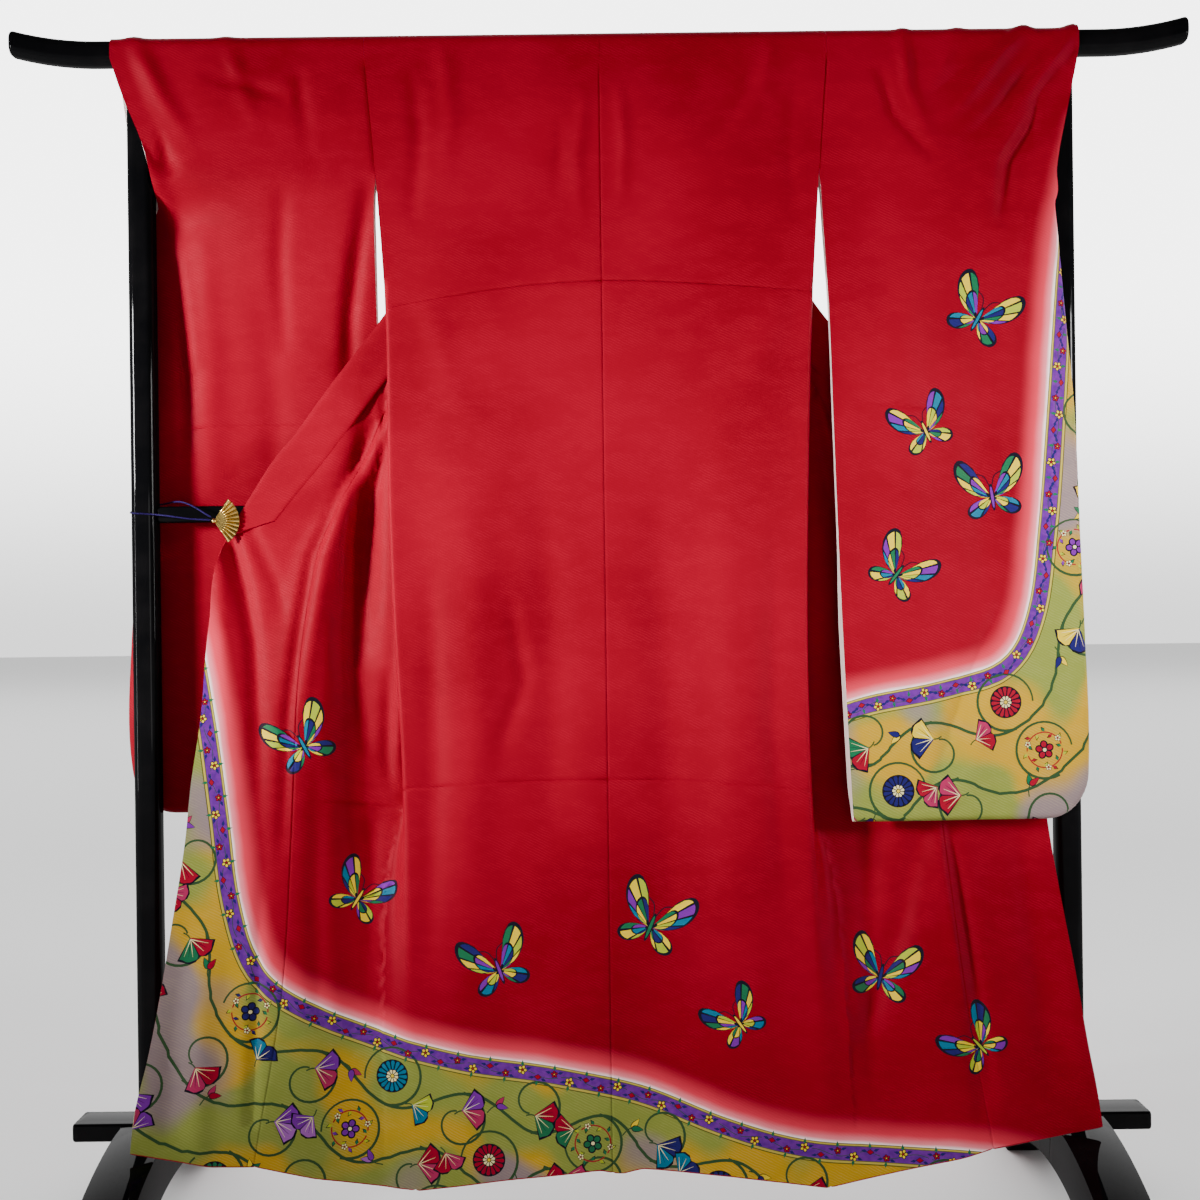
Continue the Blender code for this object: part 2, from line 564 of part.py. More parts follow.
def sleeve(side):
    """Sleeve, one cloth folded on the bar, sewn along its bottom and outer edge, open at the cuff."""
    size = SLEEVE_SIZES[side]
    rows = size["rows"]
    sign = OUTWARD[side]
    heights = np.concatenate([
        size["bottom"] + size["corner"] * np.array([0.0, 0.10, 0.32, 0.62, 1.0]),
        np.array([0.66]),
        np.linspace(0.70, 1.20, 8)[:-1],
        np.linspace(1.20, CUFF_LOW, 4)[:-1],
        np.array([CUFF_LOW, CUFF_TURN, SLEEVE_JOIN_LOW]),
        np.linspace(SLEEVE_JOIN_LOW, BAR_ROW_TOP, 6)[1:],
    ])
    across = np.array([0.0, 0.10, 0.28, 0.46, 0.64, 0.80, 0.91, 1.0])
    corner = size["corner"]
    layers = []
    for layer in ("near", "far"):
        inner = table(rows, "inner", heights) + SEAM_GAP
        outer = table(rows, layer + " outer", heights)
        drop = np.clip((size["bottom"] + corner - heights) / corner, 0.0, 1.0)
        outer = outer - corner * (1.0 - np.sqrt(1.0 - drop ** 2)) * 0.9
        f = across[None, :]
        out = inner[:, None] + (outer - inner)[:, None] * f
        deep_inner = table(rows, layer + " inner depth", heights)[:, None]
        deep_outer = table(rows, layer + " outer depth", heights)[:, None]
        blend = f * f * (3.0 - 2.0 * f)
        if layer == "near" and side == "left" or layer == "far" and side == "right":
            blend = f ** 3
        sway = 0.0015 * np.sin(f * 9.0 + heights[:, None] * 3.0) * f * (1.0 - f) * 4.0
        sway = sway * smooth(1.52, 1.20, heights)[:, None]
        deep = deep_inner + (deep_outer - deep_inner) * blend + sway
        high = heights[:, None] + 0.0 * f
        layers.append(np.stack([out * sign, deep, high], axis=2))
    near, far = layers
    wrap = bar_wrap(3)
    over = []
    for k, (depth, height) in enumerate(wrap):
        f = (k + 1) / (len(wrap) + 1)
        x = near[-1, :, 0] + (far[-1, :, 0] - near[-1, :, 0]) * f
        over.append(np.stack([x, np.full(len(across), depth), np.full(len(across), height)], axis=1))
    points = np.concatenate([near, np.array(over), far[::-1]], axis=0)
    columns = len(across)
    count = points.shape[0]
    faces = quads(count, columns)
    last = (count - 1) * columns
    for j in range(columns - 1):
        faces.append((last + j, last + j + 1, j + 1, j))
    closed = int(np.sum(heights < CUFF_LOW + 1e-6))
    for i in range(closed - 1):
        a = i * columns + columns - 1
        b = (i + 1) * columns + columns - 1
        c = (count - 2 - i) * columns + columns - 1
        d = (count - 1 - i) * columns + columns - 1
        faces.append((b, a, d, c))
    if side == "right":
        faces = [face[::-1] for face in faces]
    return solid_from_sheet("sleeve_" + side, points.reshape(-1, 3), faces, CLOTH_WALL)


def rounded_section(half_width, half_height, corner, cells=3):
    """Corner points of a rectangle with round corners, anticlockwise."""
    points = []
    for quarter in range(4):
        middle_x = (half_width - corner) * (1, -1, -1, 1)[quarter]
        middle_y = (half_height - corner) * (1, 1, -1, -1)[quarter]
        for k in range(cells + 1):
            angle = math.pi / 2 * (quarter + k / cells)
            points.append((middle_x + corner * math.cos(angle), middle_y + corner * math.sin(angle)))
    return points


def end_faces(count, curved):
    """One face over a ring, or quads across a ring whose second half runs back beside the first."""
    if not curved:
        return [tuple(range(count))]
    return [(k, k + 1, count - 2 - k, count - 1 - k) for k in range(count // 2 - 1)]


def swept_solid(name, rings, finish, curved_ends=False):
    """A closed solid through rings with the same number of points."""
    count = len(rings[0])
    points = [p for ring in rings for p in ring]
    ends = end_faces(count, curved_ends)
    faces = [face[::-1] for face in ends]
    for i in range(len(rings) - 1):
        for j in range(count):
            k = (j + 1) % count
            faces.append((i * count + j, i * count + k, (i + 1) * count + k, (i + 1) * count + j))
    last = (len(rings) - 1) * count
    faces += [tuple(last + j for j in face) for face in ends]
    mesh = bpy.data.meshes.new(name)
    mesh.from_pydata(points, [], faces)
    shape = bmesh.new()
    shape.from_mesh(mesh)
    bmesh.ops.recalc_face_normals(shape, faces=shape.faces)
    shape.to_mesh(mesh)
    shape.free()
    mesh.shade_smooth()
    mesh.set_sharp_from_angle(angle=math.radians(40.0))
    return add_object(name, mesh, finish)


def top_bar():
    """Top bar: straight between the posts, its ends swept up, their faces rounded off."""
    section = rounded_section(BAR_HALF_DEPTH, BAR_HEIGHT / 2, BAR_CORNER, 4)
    middle = BAR_TOP - BAR_HEIGHT / 2
    places = [(BAR_STRAIGHT + (BAR_HALF_LENGTH - 0.006 - BAR_STRAIGHT) * k / 5, 1.0) for k in range(6)]
    places += [(BAR_HALF_LENGTH - 0.002, 0.93), (BAR_HALF_LENGTH, 0.72)]
    stations = [(-x, scale) for x, scale in reversed(places)] + places
    rings = []
    for x, scale in stations:
        beyond = max(abs(x) - BAR_STRAIGHT, 0.0) / (BAR_HALF_LENGTH - BAR_STRAIGHT)
        rise = BAR_RISE * beyond ** 2
        rings.append([(x, y * scale, middle + rise + z * scale) for y, z in section])
    return swept_solid("top_bar", rings, "lacquer")


def straight_solid(name, section, axis, start, end, offset, finish):
    rings = []
    for along in (start, end):
        if axis == "z":
            rings.append([(offset[0] + a, offset[1] + b, along) for a, b in section])
        elif axis == "x":
            rings.append([(along, offset[0] + a, offset[1] + b) for a, b in section])
    return swept_solid(name, rings, finish)


def foot(side):
    """Foot: an arch along the depth, notched for the base board, flat under its toes."""
    half = FOOT_HALF_DEPTH
    notch = BOARD_DEPTH / 2 + TOUCH_GAP
    floor_of_notch = BOARD_TOP - BOARD_HEIGHT - TOUCH_GAP
    outline = [(notch, floor_of_notch)]
    for k in range(13):
        y = notch + (half - 0.012 - notch) * k / 12
        outline.append((y, FOOT_CREST - FOOT_CURVE * y * y))
    outline.append((half - 0.003, FOOT_TOE_HEIGHT + 0.006))
    outline.append((half, FOOT_TOE_HEIGHT - 0.006))
    outline.append((half, 0.0))
    outline.append((FOOT_ARCH_HALF, 0.0))
    for k in range(1, 9):
        y = FOOT_ARCH_HALF * (1 - k / 8)
        outline.append((y, FOOT_ARCH_TOP * (1 - (y / FOOT_ARCH_HALF) ** 2) ** 0.8))
    mirrored = [(-y, z) for y, z in reversed(outline[:-1])]
    outline = outline + mirrored
    x = POST_X * OUTWARD[side]
    rings = [[(x + w, y, z) for y, z in outline] for w in (-FOOT_WIDTH / 2, FOOT_WIDTH / 2)]
    return swept_solid("foot_" + side, rings, "lacquer")


def stand():
    top_bar()
    post = rounded_section(POST_SIDE / 2, POST_SIDE / 2, POST_CORNER)
    low = BOARD_TOP + TOUCH_GAP
    high = BAR_TOP - BAR_HEIGHT - TOUCH_GAP
    for side in ("left", "right"):
        straight_solid("post_" + side, post, "z", low, high, (POST_X * OUTWARD[side], 0.0), "lacquer")
        foot(side)
    rail = rounded_section(MID_BAR_SIDE / 2, MID_BAR_SIDE / 2, 0.006)
    reach = POST_X - POST_SIDE / 2 - TOUCH_GAP
    straight_solid("mid_bar", rail, "x", -reach, reach, (0.0, MID_BAR_Z), "lacquer")
    board = rounded_section(BOARD_DEPTH / 2, BOARD_HEIGHT / 2, 0.003, 2)
    straight_solid("base_board", board, "x", -BOARD_HALF_LENGTH, BOARD_HALF_LENGTH,
                   (0.0, BOARD_TOP - BOARD_HEIGHT / 2), "lacquer")


def fan_plate(name, side, depth, wall, reach, half_angle, flutes, flute):
    """A fan-shaped plate around the clip's pin, folded in flutes, with a round hub."""
    pivot_x = CLIP_ARM_X[side]
    hub = CLIP_PIN_RADIUS + TOUCH_GAP
    cells = flutes * 2
    rings = []
    for radius in (hub, reach * 0.55, reach):
        near = []
        far = []
        for k in range(cells + 1):
            angle = math.radians(-half_angle + 2.0 * half_angle * k / cells)
            lift = flute * (1 if k % 2 else -1) * (radius - hub) / (reach - hub)
            edge = radius + (0.0012 if k % 2 else 0.0) * (radius > hub)
            x = (pivot_x - edge * math.cos(angle)) * OUTWARD[side]
            z = CLIP_Z + edge * math.sin(angle)
            near.append((x, depth - wall / 2 - lift, z))
            far.append((x, depth + wall / 2 - lift, z))
        rings.append(near + far[::-1])
    return swept_solid(name, rings, "gold", curved_ends=True)


def clip(side):
    """Clip: a fluted fan on the near face of the cloth, a plain jaw behind it, and their pin."""
    fan_plate("clip_fan_" + side, side, CLIP_FAN_Y[side], CLIP_FAN_WALL, CLIP_REACH, CLIP_HALF_ANGLE,
              CLIP_RIBS, CLIP_FLUTE)
    fan_plate("clip_jaw_" + side, side, CLIP_JAW_Y, CLIP_JAW_WALL, CLIP_REACH * 0.8, 34.0, 2, 0.0)
    x = CLIP_ARM_X[side] * OUTWARD[side]
    rings = []
    for y, radius in ((-0.0345, 0.55), (-0.0333, 0.92), (-0.0320, 1.0), (-0.0186, 1.0)):
        ring = []
        for k in range(12):
            angle = 2.0 * math.pi * k / 12
            ring.append((x + CLIP_PIN_RADIUS * radius * math.cos(angle), y,
                         CLIP_Z + CLIP_PIN_RADIUS * radius * math.sin(angle)))
        rings.append(ring)
    swept_solid("clip_pin_" + side, rings, "gold")


def cord_route(side):
    """The cord's way: from the clip's pin, in front of the post, round it and back over the rail."""
    pin = CLIP_ARM_X[side]
    post = POST_X
    clear = POST_SIDE / 2 + CORD_DIAMETER / 2 + 0.0006
    start = pin + CLIP_PIN_RADIUS + 0.0018
    route = [
        (start, -0.0262, CLIP_Z + 0.0015),
        (pin + 0.030, -0.0260, 0.9700),
        (post - 0.040, -0.0240, 0.9745),
        (post - 0.014, -clear, 0.9775),
        (post + 0.006, -clear, 0.9790),
        (post + 0.0165, -0.0165, 0.9800),
        (post + clear, -0.004, 0.9815),
        (post + clear, 0.005, 0.9835),
        (post + 0.0165, 0.0165, 0.9865),
        (post + 0.004, clear, 0.9895),
        (post - 0.014, clear - 0.001, 0.9925),
        (post - 0.030, 0.0120, 0.9945),
        (post - 0.042, -0.0010, 0.9955),
        (post - 0.056, -0.0120, 0.9940),
        (pin + 0.030, -0.0200, 0.9875),
        (pin + 0.012, -0.0245, 0.9765),
        (start - 0.0006, -0.0250, CLIP_Z + 0.0052),
    ]
    sign = OUTWARD[side]
    return np.array([(x * sign, y, z) for x, y, z in route])


def smooth_route(points, spacing):
    """Points a set distance apart on the smooth curve through a route."""
    padded = np.vstack([2 * points[0] - points[1], points, 2 * points[-1] - points[-2]])
    fine = []
    for i in range(1, len(padded) - 2):
        a, b, c, d = padded[i - 1:i + 3]
        for f in np.linspace(0.0, 1.0, 24, endpoint=False):
            fine.append(0.5 * (2 * b + (c - a) * f + (2 * a - 5 * b + 4 * c - d) * f * f
                               + (3 * b - a - 3 * c + d) * f ** 3))
    fine.append(points[-1])
    fine = np.array(fine)
    run = np.concatenate([[0.0], np.cumsum(np.linalg.norm(np.diff(fine, axis=0), axis=1))])
    count = max(int(round(run[-1] / spacing)), 4)
    marks = np.linspace(0.0, run[-1], count + 1)
    return np.stack([np.interp(marks, run, fine[:, k]) for k in range(3)], axis=1)


def cord(side):
    points = smooth_route(cord_route(side), CORD_SPACING)
    curve = bpy.data.curves.new("clip_cord_" + side, "CURVE")
    curve.dimensions = "3D"
    curve.bevel_depth = CORD_DIAMETER / 2
    curve.bevel_resolution = 2
    curve.use_fill_caps = True
    spline = curve.splines.new("POLY")
    spline.points.add(len(points) - 1)
    for spot, point in zip(spline.points, points):
        spot.co = (*point, 1.0)
    return add_object("clip_cord_" + side, curve, "cord")


def main():
    clear_scene()
    stand()
    for side in ("left", "right"):
        body(side)
        okumi(side)
        sleeve(side)
        clip(side)
        cord(side)
    collar()


main()
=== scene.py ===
# Furisode hung open over a lacquered kimono stand, seen from its back.
# Metres, +Z up. The outside of the cloth's back faces -Y, towards the camera.
import math
import bpy
import numpy as np
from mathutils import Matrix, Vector, geometry


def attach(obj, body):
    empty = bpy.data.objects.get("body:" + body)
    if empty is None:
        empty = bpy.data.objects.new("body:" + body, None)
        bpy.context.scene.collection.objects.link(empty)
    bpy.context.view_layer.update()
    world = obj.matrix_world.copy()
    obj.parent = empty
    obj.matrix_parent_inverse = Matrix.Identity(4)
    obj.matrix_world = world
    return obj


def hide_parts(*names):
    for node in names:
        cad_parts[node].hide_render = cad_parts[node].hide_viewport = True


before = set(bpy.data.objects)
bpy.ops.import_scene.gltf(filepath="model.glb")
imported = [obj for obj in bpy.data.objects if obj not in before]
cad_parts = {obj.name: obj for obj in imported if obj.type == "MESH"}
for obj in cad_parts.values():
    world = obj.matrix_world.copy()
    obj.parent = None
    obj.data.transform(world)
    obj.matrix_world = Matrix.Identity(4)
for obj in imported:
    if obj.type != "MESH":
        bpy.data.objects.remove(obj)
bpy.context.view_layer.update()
outward = {"left": -1.0, "right": 1.0}
print("frame loaded")

photoView = {
    "place": (-0.0077, -2.7, 0.851),
    "roll": 0.7,        # degrees
    "lens": 57.87,      # mm, on a 36 mm sensor
}


# the photograph's view: level, rolled a little
def addCamera():
    data = bpy.data.cameras.new("photoView")
    data.lens = photoView["lens"]
    data.sensor_width = 36.0
    camera = bpy.data.objects.new("photoView", data)
    camera.location = photoView["place"]
    camera.rotation_euler = (math.pi / 2, math.radians(photoView["roll"]), 0.0)
    bpy.context.scene.collection.objects.link(camera)
    bpy.context.scene.camera = camera


addCamera()


# one socket of a material; an expression on lines adds its Math nodes
class Line:
    def __init__(self, tree, socket=None):
        self.tree = tree
        self.socket = socket

    # any node, from its type, its settings and the values or lines of its sockets
    def node(self, kind, settings=None, inputs=None, out=0):
        made = self.tree.nodes.new(kind)
        for name, value in (settings or {}).items():
            setattr(made, name, value)
        for name, value in (inputs or {}).items():
            if isinstance(value, Line):
                self.tree.links.new(value.socket, made.inputs[name])
            else:
                made.inputs[name].default_value = value
        return Line(self.tree, made.outputs[out])

    def math(self, operation, a, b):
        return self.node("ShaderNodeMath", {"operation": operation}, {0: a, 1: b})

    def __add__(self, other):
        return self.math("ADD", self, other)

    def __radd__(self, other):
        return self.math("ADD", other, self)

    def __sub__(self, other):
        return self.math("SUBTRACT", self, other)

    def __rsub__(self, other):
        return self.math("SUBTRACT", other, self)

    def __mul__(self, other):
        return self.math("MULTIPLY", self, other)

    def __rmul__(self, other):
        return self.math("MULTIPLY", other, self)

    # 0 below low and 1 above high, eased between them
    def step(self, low, high):
        return self.node("ShaderNodeMapRange", {"interpolation_type": "SMOOTHSTEP"},
                         {"Value": self, "From Min": low, "From Max": high})

    # colour a where this line is 0, colour b where it is 1
    def blend(self, a, b):
        a, b = [(*c, 1.0) if isinstance(c, tuple) and len(c) == 3 else c for c in (a, b)]
        return self.node("ShaderNodeMix", {"data_type": "RGBA"}, {0: self, 6: a, 7: b}, 2)


# a material and the lines that most of its patterns start from
class Finish(Line):
    def __init__(self, name, **fixed):
        self.material = bpy.data.materials.new(name)
        self.material.use_nodes = True
        super().__init__(self.material.node_tree)
        self.shader = self.tree.nodes["Principled BSDF"]
        self.place = self.node("ShaderNodeTexCoord", out="Object")
        for socket, value in fixed.items():
            self.shader.inputs[socket.replace("_", " ")].default_value = value

    def feed(self, socket, line):
        self.tree.links.new(line.socket, self.shader.inputs[socket])

    def attribute(self, name, out="Fac"):
        return self.node("ShaderNodeAttribute", {"attribute_name": name}, out=out)

    def turned(self, scale=(1.0, 1.0, 1.0), turn=(0.0, 0.0, 0.0), move=(0.0, 0.0, 0.0)):
        turn = tuple(math.radians(a) for a in turn)
        return self.node("ShaderNodeMapping", {}, {"Vector": self.place, "Location": move,
                                                   "Rotation": turn, "Scale": scale})

    def noise(self, scale, detail=2.0, rough=0.5, vector=None):
        return self.node("ShaderNodeTexNoise", {}, {"Vector": vector or self.place, "Scale": scale,
                                                    "Detail": detail, "Roughness": rough})

    def bump(self, height, distance, strength):
        made = self.node("ShaderNodeBump", {}, {"Height": height, "Distance": distance,
                                                "Strength": strength})
        self.feed("Normal", made)


# the print's flat colours, and a dark red for the tuck's stitches that paints the tuck's shade
dyes = {
    "ink": (0.0049, 0.0074, 0.0148),
    "vine": (0.0230, 0.0640, 0.0246),
    "navy": (0.0115, 0.0131, 0.1066),
    "teal": (0.0016, 0.1312, 0.2214),
    "green": (0.0098, 0.1230, 0.0508),
    "violet": (0.1476, 0.0148, 0.2706),
    "lilac": (0.3116, 0.0984, 0.3936),
    "rose": (0.3444, 0.0213, 0.0820),
    "crimson": (0.2788, 0.0041, 0.0197),
    "yellow": (0.6970, 0.4920, 0.0164),
    "lime": (0.3444, 0.4100, 0.0246),
    "cream": (0.7380, 0.6560, 0.3280),
    # painted shade: the dark dashes along the shoulder tuck
    "tuck": (0.0820, 0.0008, 0.0041),
}
# ground, painted rib highlight, glow, band and field; lengths in metres from the band's upper edge, and the
# ribs' slant in degrees
silkLook = {
    "red": (0.2360, 0.0005, 0.0115),
    "deepRed": (0.1780, 0.0003, 0.0078),
    "ribHighlight": (0.3700, 0.0040, 0.0240),
    "glow": (0.6700, 0.0380, 0.0700),
    "pale": (0.8500, 0.2500, 0.2900),
    "white": (1.0000, 0.9000, 0.8700),
    "line": (0.4592, 0.3608, 0.0656),
    "olive": (0.0697, 0.0697, 0.0115),
    "band": (0.1394, 0.0213, 0.2624),
    "mustard": (0.4600, 0.2650, 0.0080),
    "moss": (0.1980, 0.2350, 0.0400),
    "grey": (0.2214, 0.1640, 0.1681),
    "bandWidth": 0.0275,
    "glowSteps": ((-0.040, -0.007, "glow"), (-0.016, -0.001, "pale"), (-0.0050, 0.001, "white")),
    "ribPeriod": 0.0034,
    "ribTurn": 27.0,
}


# slanting ribs, stronger and weaker in patches, over a fine grain
def crepe(silk):
    slanted = silk.turned(turn=(0.0, -silkLook["ribTurn"], 0.0))
    ribs = silk.node("ShaderNodeTexWave", {"wave_type": "BANDS", "bands_direction": "Z"},
                     {"Vector": slanted, "Scale": 0.31416 / silkLook["ribPeriod"], "Distortion": 2.6,
                      "Detail": 2.0, "Detail Scale": 1.1})
    patches = silk.noise(48.0, 2.0, 0.6, silk.turned((0.5, 1.0, 1.0))).step(0.36, 0.64)
    grain = silk.noise(620.0, 2.0, 0.6, silk.turned((0.6, 1.0, 1.0)))
    return ribs * (0.55 + patches * 0.45) * 0.6 + grain * 0.5


# colour by the distance to the band's upper edge: red ground with a painted highlight on the crepe ribs'
# crowns, glow, lined band, mottled field
def silkFinish():
    look = silkLook
    silk = Finish("dyedSilk", Specular_IOR_Level=0.08, Sheen_Weight=0.02, Sheen_Roughness=0.4)
    silk.shader.inputs["Sheen Tint"].default_value = (1.0, 0.20, 0.20, 1.0)
    silk.shader.inputs["Specular Tint"].default_value = (1.0, 0.22, 0.24, 1.0)
    border = silk.attribute("border")
    height = crepe(silk)
    cloud = silk.noise(3.2, 2.0).step(0.35, 0.65)
    ground = cloud.blend(look["deepRed"], look["red"])
    # painted highlight: the ground turns paler on the crowns of the crepe's ribs
    ground = (height.step(0.40, 1.00) * 0.42).blend(ground, look["ribHighlight"])
    edge = border + (silk.noise(14.0) * 0.006 - 0.003)
    colour = ground
    for low, high, tone in look["glowSteps"]:
        colour = edge.step(low, high).blend(colour, look[tone])
    patch = silk.noise(8.5, 1.0, 0.4).step(0.47, 0.60)
    other = silk.noise(7.0, 1.0, 0.4, silk.turned(move=(3.1, 0.0, 1.7))).step(0.53, 0.66)
    field = other.blend(patch.blend(look["moss"], look["mustard"]), look["grey"])
    # painted highlight: the field turns towards cream on the crowns of the crepe's ribs
    field = (height.step(0.35, 0.9) * 0.10).blend(field, dyes["cream"])
    width = look["bandWidth"]
    cloudy = silk.noise(120.0).step(0.3, 0.7)
    band = cloudy.blend((0.085, 0.012, 0.210), look["band"])
    olive, line = look["olive"], look["line"]
    for start, tone in ((0.0, olive), (0.0010, line), (0.0030, olive), (0.0040, band),
                        (width - 0.0052, olive), (width - 0.0042, line),
                        (width - 0.0014, olive), (width, field)):
        colour = border.step(start - 0.0003, start + 0.0003).blend(colour, tone)
    colour = silk.attribute("dye", "Alpha").blend(colour, silk.attribute("dye", "Color"))
    silk.feed("Base Color", colour)
    silk.feed("Roughness", 0.40 + silk.noise(90.0, 3.0) * 0.22)
    silk.bump(height, 0.00035, 0.55)
    return silk.material


# plain silk, one colour above the join of the linings and one below it
def liningFinish(name, upper, lower, joinHeight):
    lining = Finish(name, Specular_IOR_Level=0.07, Sheen_Weight=0.02)
    height = lining.node("ShaderNodeSeparateXYZ", {}, {0: lining.place}, "Z")
    tone = lining.noise(9.0, 3.0).step(0.35, 0.85)
    low = tone.blend(lower, tuple(0.86 * a for a in lower))
    high = tone.blend(upper, tuple(0.93 * a for a in upper))
    lining.feed("Base Color", height.step(joinHeight - 0.0005, joinHeight + 0.0005).blend(low, high))
    lining.feed("Roughness", 0.42 + lining.noise(70.0) * 0.2)
    lining.bump(lining.noise(800.0, 2.0, 0.6, lining.turned((1.0, 1.0, 0.25))), 0.0002, 0.5)
    return lining.material


# near-black lacquer under a clear coat, with faint polishing waves and dust
def lacquerFinish():
    lacquer = Finish("blackLacquer", Specular_IOR_Level=0.0, Coat_Roughness=0.05)
    tone = lacquer.noise(22.0, 4.0).step(0.4, 0.8)
    lacquer.feed("Base Color", tone.blend((0.0022, 0.0022, 0.0026), (0.0045, 0.0042, 0.0046)))
    dust = lacquer.noise(260.0, 3.0, 0.7).step(0.48, 0.82)
    lacquer.feed("Roughness", 0.14 + dust * 0.16)
    lacquer.feed("Coat Weight", 0.13 - dust * 0.03)
    lacquer.bump(lacquer.noise(46.0, 1.0), 0.0003, 0.25)
    return lacquer.material


# gilt metal, with painted shade: darker in the fan's flute hollows and along the ring where its plate ends
def giltFinish():
    gilt = Finish("giltMetal", Metallic=1.0)
    tone = gilt.noise(180.0, 3.0).step(0.45, 0.85)
    worn = (tone * 0.5).blend((0.86, 0.58, 0.17), (0.44, 0.24, 0.05))
    # painted shade in the fan's hollows, read from a point attribute
    gilt.feed("Base Color", gilt.attribute("grooveShade").blend(worn, (0.060, 0.028, 0.006)))
    gilt.feed("Roughness", 0.14 + gilt.noise(420.0) * 0.20)
    gilt.bump(gilt.noise(900.0, 2.0), 0.0001, 0.4)
    return gilt.material


# dark violet silk, paler on the strands' crowns
def cordFinish():
    cord = Finish("cordSilk", Specular_IOR_Level=0.1)
    tone = cord.noise(1100.0, 2.0).step(0.35, 0.75)
    cord.feed("Base Color", tone.blend((0.006, 0.002, 0.034), (0.022, 0.008, 0.090)))
    cord.feed("Roughness", 0.45 + tone * 0.2)
    cord.bump(tone, 0.0002, 0.5)
    return cord.material


finishes = {
    "silk": silkFinish(),
    "lining": liningFinish("bodyLining", (0.74, 0.67, 0.63), (0.17, 0.0010, 0.0085), 0.86),
    "edge": liningFinish("hemEdge", (0.30, 0.002, 0.014), (0.30, 0.002, 0.014), 0.0),
    "sleeveLining": liningFinish("sleeveLining", (0.84, 0.66, 0.63), (0.84, 0.66, 0.63), 0.0),
    "lacquer": lacquerFinish(),
    "gilt": giltFinish(),
    "cord": cordFinish(),
}
print("finishes made")


# a mesh object from whole arrays of points and of faces with one number of corners
def meshPiece(name, points, faces, looks, kinds=None, sharp=40.0):
    mesh = bpy.data.meshes.new(name)
    faces = np.asarray(faces, np.int32)
    points = np.asarray(points, float)
    corner = points[faces] - points.mean(axis=0)
    volume = np.einsum("ij,ij->", corner[:, 0], np.cross(corner[:, 1], corner[:, 2]))
    if faces.shape[1] == 4:
        volume += np.einsum("ij,ij->", corner[:, 0], np.cross(corner[:, 2], corner[:, 3]))
    if volume < 0.0:      # inside out
        faces = faces[:, ::-1]
    mesh.vertices.add(len(points))
    mesh.vertices.foreach_set("co", np.asarray(points, np.float32).ravel())
    mesh.loops.add(faces.size)
    mesh.loops.foreach_set("vertex_index", faces.ravel())
    mesh.polygons.add(len(faces))
    mesh.polygons.foreach_set("loop_start", np.arange(0, faces.size, faces.shape[1], dtype=np.int32))
    for look in looks:
        mesh.materials.append(finishes[look])
    if kinds is not None:
        mesh.polygons.foreach_set("material_index", np.asarray(kinds, np.int32))
    mesh.update(calc_edges=True)
    mesh.shade_smooth()
    mesh.set_sharp_from_angle(angle=math.radians(sharp))
    piece = bpy.data.objects.new(name, mesh)
    bpy.context.scene.collection.objects.link(piece)
    return piece


# quads between neighbouring points of rings that are numbered one after another
def ringQuads(rings, count, start=0):
    i, j = np.meshgrid(np.arange(rings - 1), np.arange(count), indexing="ij")
    a = start + i * count + j
    b = start + i * count + (j + 1) % count
    return np.stack([a, b, b + count, a + count], axis=-1).reshape(-1, 4)


# a closed body through rings; its ends are quads across a ring whose second half runs back by the first
def ringPiece(name, rings, look, sharp=40.0):
    rings = np.asarray(rings, float)
    count = rings.shape[1]
    k = np.arange(count // 2 - 1)
    end = np.stack([k, count - 1 - k, count - 2 - k, k + 1], axis=-1)
    last = (len(rings) - 1) * count
    faces = np.concatenate([ringQuads(len(rings), count), end, end[:, ::-1] + last])
    return meshPiece(name, rings.reshape(-1, 3), faces, [look], sharp=sharp)


# a closed plate between two grids of points, with walls along its rim
def platePiece(name, near, far, look, sharp=40.0):
    rows, columns = near.shape[:2]
    i, j = np.meshgrid(np.arange(rows - 1), np.arange(columns - 1), indexing="ij")
    a = (i * columns + j).ravel()
    face = np.stack([a, a + 1, a + columns + 1, a + columns], axis=-1)
    rim = np.concatenate([np.arange(columns), columns * np.arange(2, rows) - 1,
                          rows * columns - 1 - np.arange(columns), columns * np.arange(rows - 2, 0, -1)])
    after = np.roll(rim, -1)
    back = rows * columns
    walls = np.stack([after, rim, rim + back, after + back], axis=-1)
    faces = np.concatenate([face, face[:, ::-1] + back, walls])
    points = np.concatenate([near.reshape(-1, 3), far.reshape(-1, 3)])
    return meshPiece(name, points, faces, [look], sharp=sharp)


# the piece rides on the one body and takes the place of its nodes, which it hides
def settle(piece, slotName, *nodes):
    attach(piece, "root")
    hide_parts(*nodes)
    return piece


# one value for every point or corner of a piece, for its finish to read
def paint(piece, name, values, kind="FLOAT", domain="POINT"):
    made = piece.data.attributes.new(name, kind, domain)
    field = "color" if kind == "FLOAT_COLOR" else "value"
    made.data.foreach_set(field, np.asarray(values, np.float32).ravel())


# whole arrays of coordinates as one array of points
def pointsAt(x, y, z):
    return np.stack(np.broadcast_arrays(x, y, z), axis=-1)


# even angles once round a circle, the first not repeated
def roundAngles(count):
    return np.linspace(0.0, 2 * math.pi, count, endpoint=False)


# even angles over a quarter turn, with both ends
def quarterAngles(count):
    return np.linspace(0.0, math.pi / 2, count)


# the length of the way from the first of some points to each of them
def runAlong(points):
    return np.concatenate([[0.0], np.cumsum(np.linalg.norm(np.diff(points, axis=0), axis=1))])


